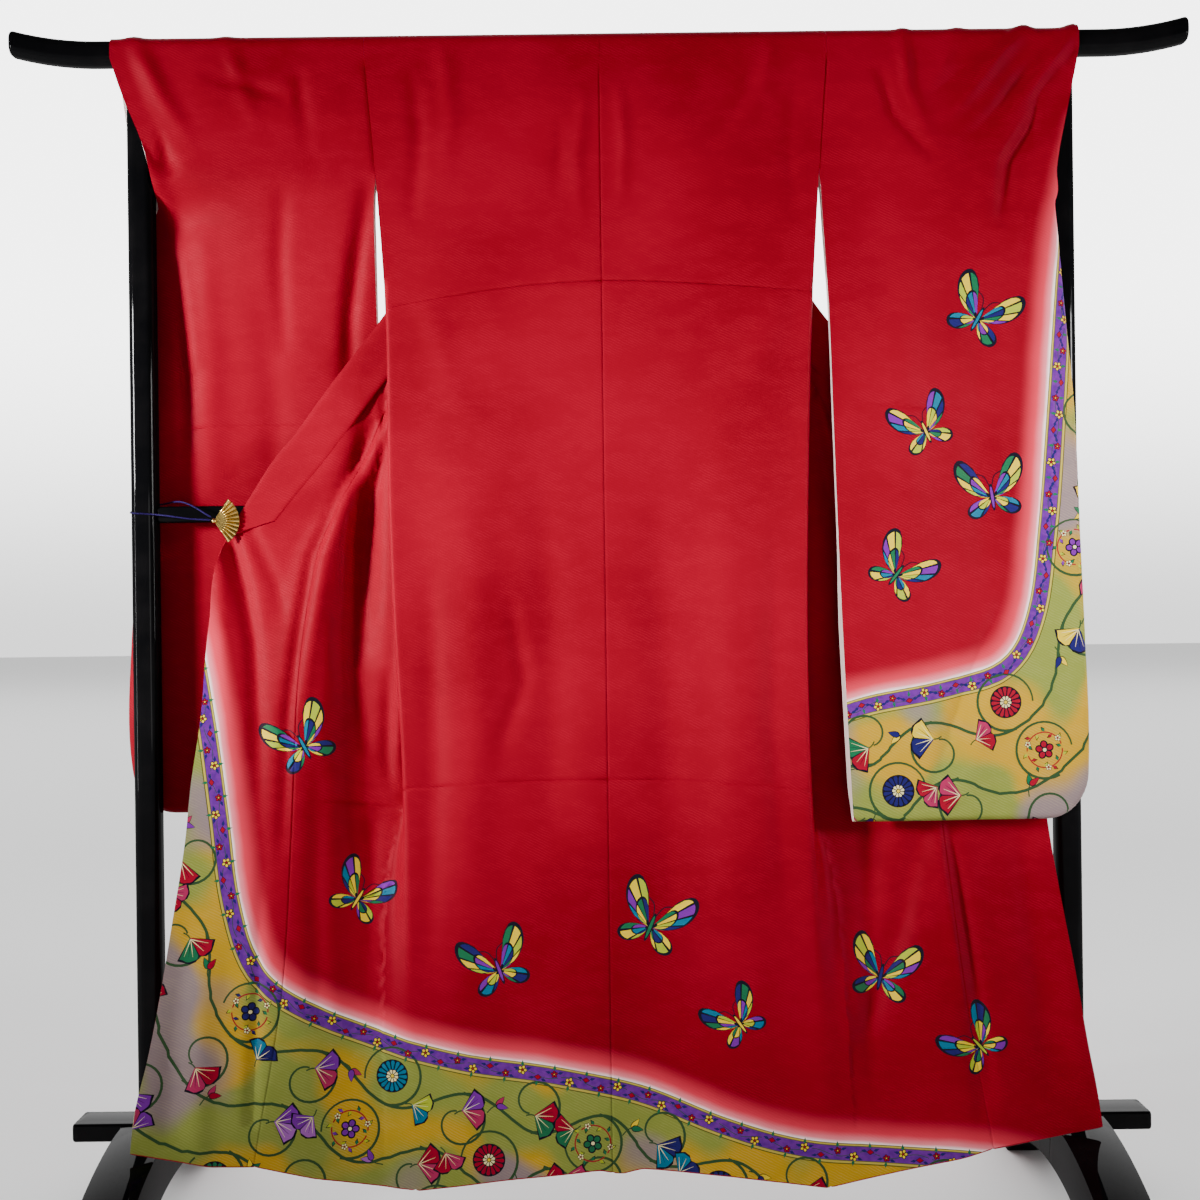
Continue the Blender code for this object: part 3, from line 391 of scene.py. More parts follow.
# points along the smooth curve through some points, with this many steps between two of them
def smoothPath(points, steps):
    points = np.asarray(points, float)
    padded = np.concatenate([2 * points[:1] - points[1:2], points, 2 * points[-1:] - points[-2:-1]])
    f = (np.arange(steps) / steps).reshape((1, -1) + (1,) * (points.ndim - 1))
    a, b, c, d = (padded[k:len(padded) - 3 + k, None] for k in range(4))
    fine = 0.5 * (2 * b + (c - a) * f + (2 * a - 5 * b + 4 * c - d) * f * f
                  + (3 * b - a - 3 * c + d) * f ** 3)
    return np.concatenate([fine.reshape((-1,) + points.shape[1:]), points[-1:]])


# points on the same way, moved so that they are evenly spaced
def evenly(points, spacing):
    run = runAlong(points)
    marks = np.linspace(0.0, run[-1], max(int(round(run[-1] / spacing)), 4) + 1)
    return np.stack([np.interp(marks, run, points[:, k]) for k in range(points.shape[1])], axis=1)


clip = {
    "pinOut": {"left": 0.5406, "right": 0.5476},
    "height": 0.967,
    "reach": 0.034,
    "halfAngle": 58.0,
    "ribs": 11,
    "fanDepth": {"left": -0.0296, "right": -0.0283},
    "fanWall": 0.0016,
    "flute": 0.0013,
    "jawDepth": -0.0206,
    "jawWall": 0.0014,
    "pinRadius": 0.0032,
    "pinShaft": ((-0.0312, 0.0031), (-0.0308, 0.0027), (-0.0300, 0.0027), (-0.0296, 0.0031),
                 (-0.0192, 0.0031), (-0.0187, 0.0026)),      # depth and radius
    "cordDiameter": 0.0024,
    "cordSpacing": 0.0024,
    "twist": 900.0,      # radians a metre
}
stand = {
    "barTop": 1.640,
    "barHeight": 0.036,
    "barHalfDepth": 0.018,
    "barCorner": 0.014,
    "barHalfLength": 0.8225,
    "barStraight": 0.700,
    "barRise": 0.017,
    "postOut": 0.642,
    "postSide": 0.0365,
    "postCorner": 0.012,
    "railHeight": 0.9775,
    "railSide": 0.023,
    "boardTop": 0.135,
    "boardHeight": 0.025,
    "boardDepth": 0.070,
    "boardHalfLength": 0.746,
    "footWidth": 0.073,
    "footHalfDepth": 0.330,
    "footCrest": 0.133,
    "footCurve": 0.66,
    "archTop": 0.063,
    "archHalf": 0.255,
    "toeHeight": 0.030,
    "gap": 0.0003,      # between pieces that touch
}


# one cord's way: from the pin to the post, round it and back over the rail, higher all along
def cordRoute(side):
    pin = clip["pinOut"][side]
    post = stand["postOut"]
    clear = stand["postSide"] / 2 + clip["cordDiameter"] / 2 + 0.0006
    start = pin + clip["pinRadius"] + 0.0018
    high = clip["height"]
    route = [
        (start, -0.0262, high + 0.0015),
        (pin + 0.030, -0.0260, 0.9700),
        (post - 0.040, -0.0240, 0.9745),
        (post - 0.014, -clear, 0.9775),
        (post + 0.006, -clear, 0.9790),
        (post + 0.0165, -0.0165, 0.9800),
        (post + clear, -0.004, 0.9815),
        (post + clear, 0.005, 0.9835),
        (post + 0.0165, 0.0165, 0.9865),
        (post + 0.004, clear, 0.9895),
        (post - 0.014, clear - 0.001, 0.9925),
        (post - 0.030, 0.0120, 0.9945),
        (post - 0.042, -0.0010, 0.9955),
        (post - 0.056, -0.0120, 0.9940),
        (pin + 0.030, -0.0200, 0.9875),
        (pin + 0.012, -0.0245, 0.9765),
        (start - 0.0006, -0.0250, high + 0.0052),
    ]
    return np.array([(x * outward[side], y, z) for x, y, z in route])


# two sideways directions at each point of a path, carried along without twisting
def carriedFrames(path):
    ahead = np.gradient(path, axis=0)
    ahead /= np.linalg.norm(ahead, axis=1)[:, None]
    across = np.zeros_like(path)
    turn = np.cross(ahead[0], (0.0, 0.0, 1.0))
    for k in range(len(path)):
        turn = turn - ahead[k] * np.dot(turn, ahead[k])
        turn = turn / np.linalg.norm(turn)
        across[k] = turn
    return across, np.cross(ahead, across)


# rings round a path, with a radius for every point of every ring
def tubeRings(path, radius):
    across, over = carriedFrames(path)
    angle = roundAngles(radius.shape[1])
    return (path[:, None] + across[:, None] * (radius * np.cos(angle))[..., None]
            + over[:, None] * (radius * np.sin(angle))[..., None])


# a tube with three rounded strands that wind round its path, closed at both ends
def addCord(side):
    path = evenly(smoothPath(cordRoute(side), 24), clip["cordSpacing"])
    run = runAlong(path)
    wind = roundAngles(18)[None, :] - run[:, None] * clip["twist"]
    radius = clip["cordDiameter"] / 2 * (0.90 + 0.10 * np.cos(3.0 * wind))
    radius[[0, -1]] *= 0.35
    rings = tubeRings(path, radius)
    piece = settle(ringPiece("cord_" + side, rings, "cord", 60.0), "cord", "clip_cord_" + side)


for side in outward:
    addCord(side)
print("cords made")


# a table read at any height: eased between its rows, with each row's mean slope
# lengths are in tenths of a millimetre there, and turns in degrees
def readRows(rows, column, at, unit=10000.0):
    heights = np.array(rows["height"]) / 10000.0
    values = np.array(rows[column]) / unit
    slopes = np.gradient(values, heights)
    place = np.clip(at, heights[0], heights[-1])
    low = np.clip(np.searchsorted(heights, place, side="right") - 1, 0, len(heights) - 2)
    span = heights[low + 1] - heights[low]
    f = (place - heights[low]) / span
    ease = f * f * (3.0 - 2.0 * f)
    bend = f * (1.0 - f) * ((1.0 - f) * slopes[low] - f * slopes[low + 1]) * span
    return values[low] + (values[low + 1] - values[low]) * ease + bend


# 0 at low and 1 at high, level at both ends; low may lie above high
def eased(low, high, value):
    f = np.clip((value - low) / (high - low), 0.0, 1.0)
    return f * f * (3.0 - 2.0 * f)


# a squared cosine: 1 at the centre, 0 from the half width on
def bell(place, centre, halfWidth):
    return np.cos(np.clip((place - centre) / halfWidth, -1.0, 1.0) * math.pi / 2.0) ** 2


# for points of a flat panel: distance to a path, the side of it (left is 1), and the share of its length
def nearPath(path, u, t):
    path = np.asarray(path, float)
    best = np.full(np.shape(u), 1e9)
    side = np.zeros(np.shape(u))
    share = np.zeros(np.shape(u))
    lengths = np.linalg.norm(np.diff(path, axis=0), axis=1)
    run = 0.0
    for a, b, length in zip(path[:-1], path[1:], lengths):
        du, dt = (b - a) / length
        along = np.clip((u - a[0]) * du + (t - a[1]) * dt, 0.0, length)
        offU = u - a[0] - along * du
        offT = t - a[1] - along * dt
        distance = np.hypot(offU, offT)
        nearer = distance < best
        best = np.where(nearer, distance, best)
        side = np.where(nearer, np.sign(du * offT - dt * offU), side)
        share = np.where(nearer, (run + along) / lengths.sum(), share)
        run += length
    return best, side, share


# creases: each a trough (+) or ridge (-) with a bell section, fading at its ends
# a row is the path, the depth, the half width, and where it is fullest: "both", "start" or "end"
def creaseDepth(creases, x, t):
    depth = np.zeros(np.shape(x))
    for path, full, width, shape in creases:
        distance, side, share = nearPath(path, x, t)
        fade = {"both": np.sqrt(np.maximum(np.sin(math.pi * share), 0.0)),
                "start": np.cos(math.pi / 2 * share),
                "end": np.sin(math.pi / 2 * share)}[shape]
        depth += full * fade * np.exp(-(distance / width) ** 2)
    return depth


# walls, rows and folds of the cloth, and how far apart its net's points are
cloth = {
    "wall": 0.0014,
    "seamGap": 0.0005,
    "barReach": 0.0018,
    "topRow": 1.612,
    "sleeveJoin": 1.435,
    "sideSeamTop": 1.262,
    "okumiTop": 1.225,
    "collarEnd": 0.965,
    "freeEdgeTop": 0.945,
    "cuffLow": 1.418,
    "sideFold": 0.0071,
    "innerFold": 0.0189,
    "collarWidth": 0.055,
    "collarWall": 0.0028,
    "neckRise": 0.0130,
    "neckDepth": 0.0206,
    "neckLow": 0.014,
    "cell": 0.0066,
    "wrapCell": 0.0036,
    "footRow": 0.060,
    "hemFadeTop": 0.50,
    "seamFade": 0.045,
    "centre": {"left": -0.0010, "right": 0.0002},
    "endWidth": {"left": 0.0695, "right": 0.0690},
    "endLean": -0.285,
}
# lines by height, all in tenths of a millimetre: out to the side seam, to the free edge, to the
# overlap's seam and to the collar's seam, then depths, the pleat's turns (degrees) and lengths
sideRows = {
    "height": (550, 4400, 5800, 8500, 9900, 12650, 14300, 16120),
    "left":   (2600, 2700, 2757, 2910, 2955, 2985, 3105, 3265),
    "right":  (2875, 2747, 2747, 2755, 2790, 2900, 3020, 3160),
}
freeEdgeRows = {
    "height": (1300, 1820, 2450, 3300, 4200, 5330, 6000, 6970, 8030, 8300, 8950, 9450),
    "left":   (6360, 6310, 6170, 6020, 5890, 5740, 5690, 5570, 5500, 5470, 5410, 5250),
    "right":  (6590, 6540, 6450, 6340, 6200, 6040, 5960, 5840, 5700, 5660, 5510, 5320),
}
okumiRows = {
    "height": (1050, 3300, 5300, 5830, 7870, 8780, 9170, 10630, 11370, 12250),
    "left":   (4770, 4420, 4320, 4300, 4180, 4040, 3960, 3255, 2927, 2490),
    "right":  (5120, 4790, 4580, 4520, 4250, 4080, 3990, 3300, 2960, 2500),
}
collarRows = {
    "height": (9650, 10090, 10600, 11090, 11620, 12086, 12526, 13000, 14000, 15000, 16120),
    "left":   (4570, 4208, 3785, 3426, 3010, 2634, 2347, 2060, 1550, 1180, 870),
    "right":  (4640, 4260, 3820, 3440, 3010, 2630, 2340, 2060, 1550, 1180, 870),
}
depthRows = {
    "height":     (550, 1300, 2500, 4200, 6000, 8300, 9800, 12650, 14300, 16120),
    "back":       (-1000, -960, -880, -800, -740, -660, -600, -460, -310, -198),
    "front":      (-880, -840, -760, -680, -620, -560, -500, -360, -90, 198),
    "left edge":  (-1600, -1570, -1360, -1060, -720, -370, -230, -220, -20, 250),
    "right edge": (-1180, -1120, -860, -620, -460, -300, -230, -220, -20, 250),
}
pleatRows = {
    "height": (550, 1300, 3300, 4800, 6000, 7870, 9170, 10600, 12650, 14500, 15300, 16120),
    "turn":   (0, 5, 22, 60, 120, 178, 180, 180, 180, 180, 180, 180),
    "length": (120, 120, 130, 140, 170, 340, 560, 940, 1450, 1950, 2050, 2110),
    "open":   (0, 5, 22, 60, 120, 178, 180, 180, 180, 172, 100, 0),
}
foldRows = {
    "height": (550, 3000, 6000, 8500, 10000, 11500, 12500),
    "ridge":  (40, 70, 100, 120, 100, 30, 0),
    "valley": (0, 60, 100, 120, 100, 30, 0),
}
hemRows = {
    "x":      (-6400, -5350, -4750, -3960, -2870, -2600, -1490, -180, 120, 400, 1610, 2520, 2900, 4720,
               5080, 6600),
    "height": (1300, 1060, 1030, 810, 620, 590, 710, 830, 770, 830, 730, 610, 560, 960, 1080, 1370),
}


# a height lifted to the hem's own line at its foot, less and less up to the fade's top
def overHem(z, x):
    low, top = cloth["footRow"], cloth["hemFadeTop"]
    fade = np.clip((top - z) / (top - low), 0.0, 1.0) ** 1.4
    hem = np.interp(x, np.array(hemRows["x"]) / 10000.0, np.array(hemRows["height"]) / 10000.0)
    return z + (hem - low) * fade


# part of the way along a run that turns evenly from one heading to another
def arcPoint(start, headingFrom, headingTo, length, f):
    turn = headingTo - headingFrom
    turn = np.where(np.abs(turn) < 1e-4, 1e-4, turn)
    out = length * (np.sin(headingFrom + turn * f) - np.sin(headingFrom)) / turn
    deep = length * (np.cos(headingFrom) - np.cos(headingFrom + turn * f)) / turn
    return start[0] + out, start[1] + deep


# over the bar: up, a quarter turn, across the top, a quarter turn, down; by the length of the way
def barWrap(run):
    radius = stand["barCorner"] + cloth["barReach"]
    arm = stand["barHalfDepth"] - stand["barCorner"]
    rise = stand["barTop"] - stand["barCorner"] - cloth["topRow"]
    quarter = radius * math.pi / 2
    near = np.clip((run - rise) / radius, 0.0, math.pi / 2)
    far = np.clip((run - rise - quarter - 2 * arm) / radius, 0.0, math.pi / 2)
    middle = np.clip(run - rise - quarter, 0.0, 2 * arm)
    down = np.maximum(run - rise - 2 * quarter - 2 * arm, 0.0)
    depth = -arm - radius * np.cos(near) + middle + radius * np.sin(far)
    height = (cloth["topRow"] + np.clip(run, 0.0, rise) + radius * np.sin(near)
              - radius * (1 - np.cos(far)) - down)
    return depth, height


wrapLength = (2 * (stand["barTop"] - stand["barCorner"] - cloth["topRow"])
              + (stand["barCorner"] + cloth["barReach"]) * math.pi
              + 2 * (stand["barHalfDepth"] - stand["barCorner"]))


# the cloth over the bar, with its creases carried on outwards only
def layOverBar(x, depth, t, crease):
    over, height = barWrap(t - cloth["topRow"])
    wrapped = t > cloth["topRow"]
    room = 0.012 - 0.0108 * eased(0.596, 0.616, np.abs(x))      # the post is close behind
    inwards = np.clip(crease, 0.0, room) * eased(1.604, 1.560, t)
    outwards = np.minimum(crease, 0.0) * eased(1.650, 1.590, t)
    depth = np.where(wrapped, over, depth) + inwards + outwards
    height = np.where(wrapped, height, t) - np.minimum(crease, 0.0) * bell(t, 1.642, 0.03) * 0.45
    return pointsAt(x, depth, height)


# the hanging back's depth: the table, two slow waves that grow downwards, and none by the side seam
def hangDepth(out, z, side):
    x = out * outward[side]
    wave = 0.0035 * np.sin(x * 15.0 + 0.7) + 0.0025 * np.sin(x * 31.0 - z * 2.0)
    calm = eased(0.0, 0.08, readRows(sideRows, side, z) - out)
    return readRows(depthRows, "back", z) + wave * eased(1.55, 0.60, z) * calm


# where the back's flat part ends, and how far its side fold turns: half the pleat's turn, or none
def backEdge(z, side):
    above = eased(cloth["sideSeamTop"], cloth["sideSeamTop"] + cloth["seamFade"], z)
    turn = np.radians(readRows(pleatRows, "turn", z, 1.0)) / 2 * (1.0 - above)
    radius = cloth["sideFold"] / (math.pi / 2)
    return readRows(sideRows, side, z) - radius * np.sin(turn) - cloth["sideFold"] * above, turn


# back: out by u, up by t; past the edge it turns through the side fold, past the top it goes over the bar
def backPoint(u, t, side, creases):
    z = np.minimum(t, cloth["topRow"])
    edge, turn = backEdge(z, side)
    f = np.clip((u - edge) / cloth["sideFold"], 0.0, 1.0)
    flat = np.minimum(u, edge)
    folded = arcPoint((edge, hangDepth(edge, z, side)), 0.0 * turn, turn, cloth["sideFold"], f)
    out = np.where(u > edge, folded[0], flat)
    depth = np.where(u > edge, folded[1], hangDepth(flat, z, side))
    crease = creaseDepth(creases, out * outward[side], t) * (1.0 - f)
    if side == "left":
        seam = 0.0022 * eased(0.0016, -0.0004, u) * eased(1.606, 1.590, t)
    else:
        seam = 0.0006 * np.exp(-(u / 0.0014) ** 2) * eased(1.606, 1.590, t)
    return layOverBar(out * outward[side], depth, t, crease + seam)


# depth of the opened front from its inner fold to its free edge, with one soft ridge and one valley
def panelDepth(out, z, inner, side):
    innerOut, innerDepth = inner
    edgeOut = np.where(z < cloth["freeEdgeTop"], readRows(freeEdgeRows, side, z),
                       readRows(collarRows, side, z) + 0.069)
    across = np.clip((out - innerOut) / np.maximum(edgeOut - innerOut, 0.02), 0.0, 1.15)
    plain = innerDepth + (readRows(depthRows, side + " edge", z) - innerDepth) * across
    sideOut = readRows(sideRows, side, z)
    seamOut = readRows(okumiRows, side, z)
    room = np.maximum(seamOut - sideOut, 0.02)
    ridge = readRows(foldRows, "ridge", z) * bell(out, seamOut - 0.012, 0.55 * room)
    valley = readRows(foldRows, "valley", z) * bell(out, sideOut + 0.40 * room, 0.38 * room)
    return plain - ridge + valley


# the front's stretches at each height: side fold, first layer behind the back, inner fold, opened part
def frontStretches(z, side):
    quarter = cloth["sideFold"]
    turn = np.radians(readRows(pleatRows, "turn", z, 1.0))
    opened = np.radians(readRows(pleatRows, "open", z, 1.0))
    sideOut = readRows(sideRows, side, z)
    single = sideOut - readRows(collarRows, side, z) - quarter - cloth["innerFold"] - 0.006
    first = readRows(pleatRows, "length", z)
    first = first + (single - first) * eased(1.50, 1.60, z)
    above = eased(cloth["sideSeamTop"], cloth["sideSeamTop"] + cloth["seamFade"], z)
    half = turn / 2
    radius = quarter / (math.pi / 2)
    backEnd = (sideOut - radius * np.sin(half), readRows(depthRows, "back", z))
    apex = arcPoint(backEnd, 0.0 * half, half, quarter, 1.0)
    start = (apex[0] + (sideOut - apex[0]) * above,
             apex[1] + (readRows(depthRows, "front", z) - apex[1]) * above)
    startTurn = half + half * above
    layer = arcPoint(start, startTurn, turn, quarter, 1.0)
    layerEnd = arcPoint(layer, turn, turn, first, 1.0)
    inner = arcPoint(layerEnd, turn, turn - opened, cloth["innerFold"], 1.0)
    seam = np.where(z < cloth["okumiTop"], readRows(okumiRows, side, z), readRows(collarRows, side, z))
    return {"start": start, "startTurn": startTurn, "turn": turn, "opened": opened, "first": first,
            "layer": layer, "layerEnd": layerEnd, "inner": inner, "seam": seam,
            "leg": np.maximum(np.abs(seam - inner[0]), 0.004),
            "before": quarter + first + cloth["innerFold"]}


# front: w is the way out past the inner fold; below that, the way round the pleat counts back from it
def frontPoint(w, z, side, creases):
    part = frontStretches(z, side)
    quarter = cloth["sideFold"]
    s = w - part["inner"][0] + part["before"]
    turning = arcPoint(part["start"], part["startTurn"], part["turn"], quarter, np.clip(s / quarter, 0, 1))
    f = np.clip((s - quarter) / part["first"], 0.0, 1.0)
    layer = arcPoint(part["layer"], part["turn"], part["turn"], part["first"], f)
    f = np.clip((s - quarter - part["first"]) / cloth["innerFold"], 0.0, 1.0)
    folding = arcPoint(part["layerEnd"], part["turn"], part["turn"] - part["opened"], cloth["innerFold"], f)
    f = np.clip((s - part["before"]) / part["leg"], 0.0, 1.0)
    legOut = part["inner"][0] + (part["seam"] - part["inner"][0]) * f
    leg = (legOut, panelDepth(legOut, z, part["inner"], side))
    stretch = [s < quarter, s < quarter + part["first"], s < part["before"]]
    out = np.select(stretch, [turning[0], layer[0], folding[0]], leg[0])
    depth = np.select(stretch, [turning[1], layer[1], folding[1]], leg[1])
    x = out * outward[side]
    away = eased(0.0, 0.03, s - part["before"])
    seam = 0.0005 * np.exp(-((part["leg"] + part["before"] - s) / 0.0016) ** 2) * eased(1.25, 1.15, z)
    depth = depth + creaseDepth(creases, x, z) * away + seam
    return pointsAt(x, depth, z)


# the panel's seam edge lies a little way under the front
def okumiLow(z, side):
    return readRows(okumiRows, side, z) - 0.0012


# overlap panel: the front's own hang, carried on to the free edge
def okumiPoint(out, z, side, creases):
    inner = frontStretches(z, side)["inner"]
    low = okumiLow(z, side)
    x = out * outward[side]
    seam = 0.0022 * eased(low + 0.0030, low + 0.0006, out)
    depth = panelDepth(out, z, inner, side) + creaseDepth(creases, x, z) + seam
    return pointsAt(x, depth, z)


# the free edge, a slant along the collar's end, then the collar's seam
def okumiEdge(z, side):
    free = readRows(freeEdgeRows, side, z)
    seam = readRows(collarRows, side, z) - cloth["seamGap"]
    slant = np.clip((z - cloth["freeEdgeTop"]) / (cloth["collarEnd"] - cloth["freeEdgeTop"]), 0.0, 1.0)
    corner = readRows(freeEdgeRows, side, cloth["freeEdgeTop"])
    end = readRows(collarRows, side, cloth["collarEnd"]) - cloth["seamGap"]
    edge = np.where(z < cloth["freeEdgeTop"], free,
                    np.where(z < cloth["collarEnd"], corner + (end - corner) * slant, seam))
    return np.maximum(edge, okumiLow(z, side) + 0.0006)


sleeveRows = {
    "left": {
        "height":           (5600, 6400, 8000, 9800, 11380, 12000, 12780, 13480, 14000, 14180, 14350,
                             14800, 15070, 15380, 15630, 16120),
        "inner":            (3160, 3160, 3150, 3140, 3137, 3137, 3137, 3137, 3137, 3130, 3112, 3148, 3172,
                             3200, 3222, 3265),
        "near outer":       (6600, 6710, 6670, 6460, 6250, 6180, 6160, 6175, 6190, 6205, 6220, 6320, 6410,
                             6540, 6640, 6800),
        "far outer":        (6640, 6770, 6750, 6600, 6500, 6480, 6480, 6500, 6530, 6540, 6560, 6620, 6650,
                             6690, 6720, 6800),
        "near inner depth": (180, 180, 180, 170, 90, -10, -160, -265, -300, -304, -306, -277, -260, -241,
                             -224, -198),
        "far inner depth":  (360, 370, 370, 360, 280, 160, 60, -10, -62, -73, -82, -13, 30, 78, 117, 198),
        "near outer depth": (240, 240, 240, 240, 240, 230, 210, 185, 145, 20, -150, -222, -225, -220, -210,
                             -198),
        "far outer depth":  (380, 410, 410, 410, 400, 390, 370, 340, 310, 300, 280, 260, 250, 230, 215,
                             198),
    },
    "right": {
        "height":           (5450, 6400, 8000, 9150, 11100, 12480, 13800, 14120, 14350, 14600, 15000,
                             15400, 15630, 15850, 16120),
        "inner":            (3310, 3270, 3210, 3175, 3130, 3105, 3050, 3040, 3026, 3045, 3078, 3108, 3125,
                             3142, 3160),
        "near outer":       (6520, 6570, 6550, 6520, 6480, 6390, 6320, 6310, 6293, 6330, 6420, 6520, 6570,
                             6620, 6670),
        "far outer":        (6490, 6540, 6520, 6490, 6430, 6330, 6220, 6160, 6110, 6090, 6080, 6130, 6400,
                             6550, 6670),
        "near inner depth": (-940, -900, -830, -780, -680, -560, -390, -338, -306, -290, -265, -239, -224,
                             -210, -198),
        "far inner depth":  (-740, -710, -640, -600, -520, -400, -190, -125, -82, -44, 19, 82, 117, 152,
                             198),
        "near outer depth": (-830, -790, -720, -670, -580, -490, -390, -360, -340, -320, -280, -240, -224,
                             -210, -198),
        "far outer depth":  (-660, -620, -550, -510, -430, -350, -260, -230, -200, -140, 20, 190, 225, 215,
                             198),
    },
}
sleeve = {
    "bottom": {"left": 0.558, "right": 0.547},
    "corner": {"left": 0.055, "right": 0.060},
    "seamRound": 0.009,
}


# the outer edge of one layer, drawn in round the sleeve's bottom corner
def sleeveOuter(z, side, layer):
    corner = sleeve["corner"][side]
    drop = np.clip((sleeve["bottom"][side] + corner - z) / corner, 0.0, 1.0)
    outer = readRows(sleeveRows[side], layer + " outer", z)
    return outer - corner * (1.0 - np.sqrt(np.maximum(1.0 - drop ** 2, 0.0))) * 0.9


# the lining peeps out along the lower inner edge; by the armhole the near layer lies under the body
def sleeveInner(z, side, layer):
    inner = readRows(sleeveRows[side], "inner", z)
    over = eased(1.590, 1.604, z)
    if layer == "far":
        peep = 0.0030 * eased(0.95, 0.80, z) * eased(0.545, 0.60, z)
        return inner + cloth["seamGap"] - 0.0004 * over - peep
    return inner + 0.0004 - 0.0003 * over - 0.0014 * eased(1.440, 1.460, z) * eased(1.608, 1.590, z)


# one layer's depth: eased from its inner to its outer edge, with a slow sway
def sleeveDepth(f, z, side, layer):
    rows = sleeveRows[side]
    deepInner = readRows(rows, layer + " inner depth", z)
    deepOuter = readRows(rows, layer + " outer depth", z)
    ease = f ** 3 if (side, layer) in (("left", "near"), ("right", "far")) else f * f * (3.0 - 2.0 * f)
    if layer == "near":
        width = sleeveOuter(z, side, layer) - sleeveInner(z, side, layer)
        under = eased(0.0034, 0.0008, f * width) * eased(1.440, 1.460, z) * eased(1.608, 1.590, z)
        deepInner = deepInner + 0.0020 * under
    sway = 0.0015 * np.sin(f * 9.0 + z * 3.0) * f * (1.0 - f) * 4.0 * eased(1.52, 1.20, z)
    return deepInner + (deepOuter - deepInner) * ease + sway


# sleeve: out by u, up by t; below the cuff and along the bottom both layers round off to one seam
def sleevePoint(u, t, side, layer, creases):
    z = np.minimum(t, cloth["topRow"])
    inner = sleeveInner(z, side, layer)
    outer = sleeveOuter(z, side, layer)
    f = np.clip((u - inner) / (outer - inner), 0.0, 1.0)
    depth = sleeveDepth(f, z, side, layer)
    other = "far" if layer == "near" else "near"
    middleOut = (outer + sleeveOuter(z, side, other)) / 2
    middleDepth = (depth + sleeveDepth(f, z, side, other)) / 2
    reach = sleeve["seamRound"]
    sewn = eased(cloth["cuffLow"], cloth["cuffLow"] - 0.03, z)
    byEdge = np.clip(1.0 - (outer - u) / reach, 0.0, 1.0) * sewn
    byFoot = np.clip(1.0 - (z - sleeve["bottom"][side]) / reach, 0.0, 1.0)
    near = np.clip(np.hypot(byEdge, byFoot), 0.0, 1.0)
    meet = 1.0 - np.sqrt(np.maximum(1.0 - near ** 2, 0.0))
    half = cloth["wall"] / 2 * (-1.0 if layer == "near" else 1.0)
    depth = depth + (middleDepth + half - depth) * meet
    x = (u + (middleOut - outer) * byEdge ** 2) * outward[side]
    crease = creaseDepth(creases, u * outward[side], t) * (1.0 - near)
    if layer == "far":
        return pointsAt(x, depth + crease * eased(1.605, 1.55, t), t)
    return layOverBar(x, depth, t, crease)


# a smooth line through points that are given as x and z in millimetres, one after another
def linePath(*values, steps=6):
    return smoothPath(np.reshape(values, (-1, 2)) / 1000.0, steps)


# the band's upper edge on each part of the print, and the side of it that the field lies on
borders = {
    "body": {
        "path": linePath(-620, 960, -566, 830, -538, 700, -518, 570, -500, 450, -468, 362, -400, 310,
                         -300, 266, -190, 238, -70, 220, 40, 194, 150, 152, 260, 120, 380, 110,
                         470, 106, 540, 98, 640, 70),
        "field": -1.0,
    },
    "sleeve": {
        "path": linePath(672, 1500, 645, 1400, 629, 1330, 617, 1222, 606, 1100, 592, 950, 574, 830,
                         535, 762, 450, 735, 350, 716, 270, 690),
        "field": 1.0,
    },
}
farAway = -1.0      # where there is no print


# distance to the band's upper edge, more than 0 on the field's side of it
def borderAt(part, x, z):
    if part is None:
        return np.full(np.shape(x), farAway)
    distance, side = nearPath(borders[part]["path"], x, z)[:2]
    return distance * side * borders[part]["field"]


# shapes of the print are rings of points, each with a dye; sizes are shares of the motif's width
# this ring goes round its own middle, and its radius may be a function of the angle
def ringOf(count, radius):
    angle = roundAngles(count)
    size = radius(angle) if callable(radius) else radius
    return np.stack([size * np.cos(angle), size * np.sin(angle)], axis=1)


# a line of some width along a path, thinner towards its end
def strip(path, width, taper=1.0):
    path = np.asarray(path, float)
    ahead = np.gradient(path, axis=0)
    ahead /= np.maximum(np.linalg.norm(ahead, axis=1), 1e-9)[:, None]
    beside = np.stack([-ahead[:, 1], ahead[:, 0]], axis=1)
    half = (width / 2 * np.linspace(1.0, taper, len(path)))[:, None]
    return np.concatenate([path + beside * half, (path - beside * half)[::-1]])


# shapes scaled, then turned by some degrees, then moved
def placed(shapes, centre, turn, size):
    angle = math.radians(turn)
    spin = np.array([[math.cos(angle), math.sin(angle)], [-math.sin(angle), math.cos(angle)]])
    return [(np.asarray(ring) @ spin * size + np.asarray(centre), dye) for ring, dye in shapes]


# five round petals with an inked edge, a heart and stamens
def blossom(petal, heart, fine=True):
    def lobes(angle):
        return 0.5 * (0.70 + 0.30 * np.abs(np.cos(2.5 * angle)) ** 0.8)

    shapes = [(ringOf(40 if fine else 20, lobes), "ink")]
    one = ringOf(10 if fine else 6, 1.0) * (0.155, 0.135)
    for k in range(5):
        shapes += placed([(one + (0.285, 0.0), petal)], (0, 0), 72 * k, 1.0)
        if fine:
            line = strip([(0.10, 0.0), (0.25, 0.0)], 0.022, 0.4)
            shapes += placed([(line, "ink")], (0, 0), 72 * k, 1.0)
    return shapes + [(ringOf(10 if fine else 6, 0.095), heart)]


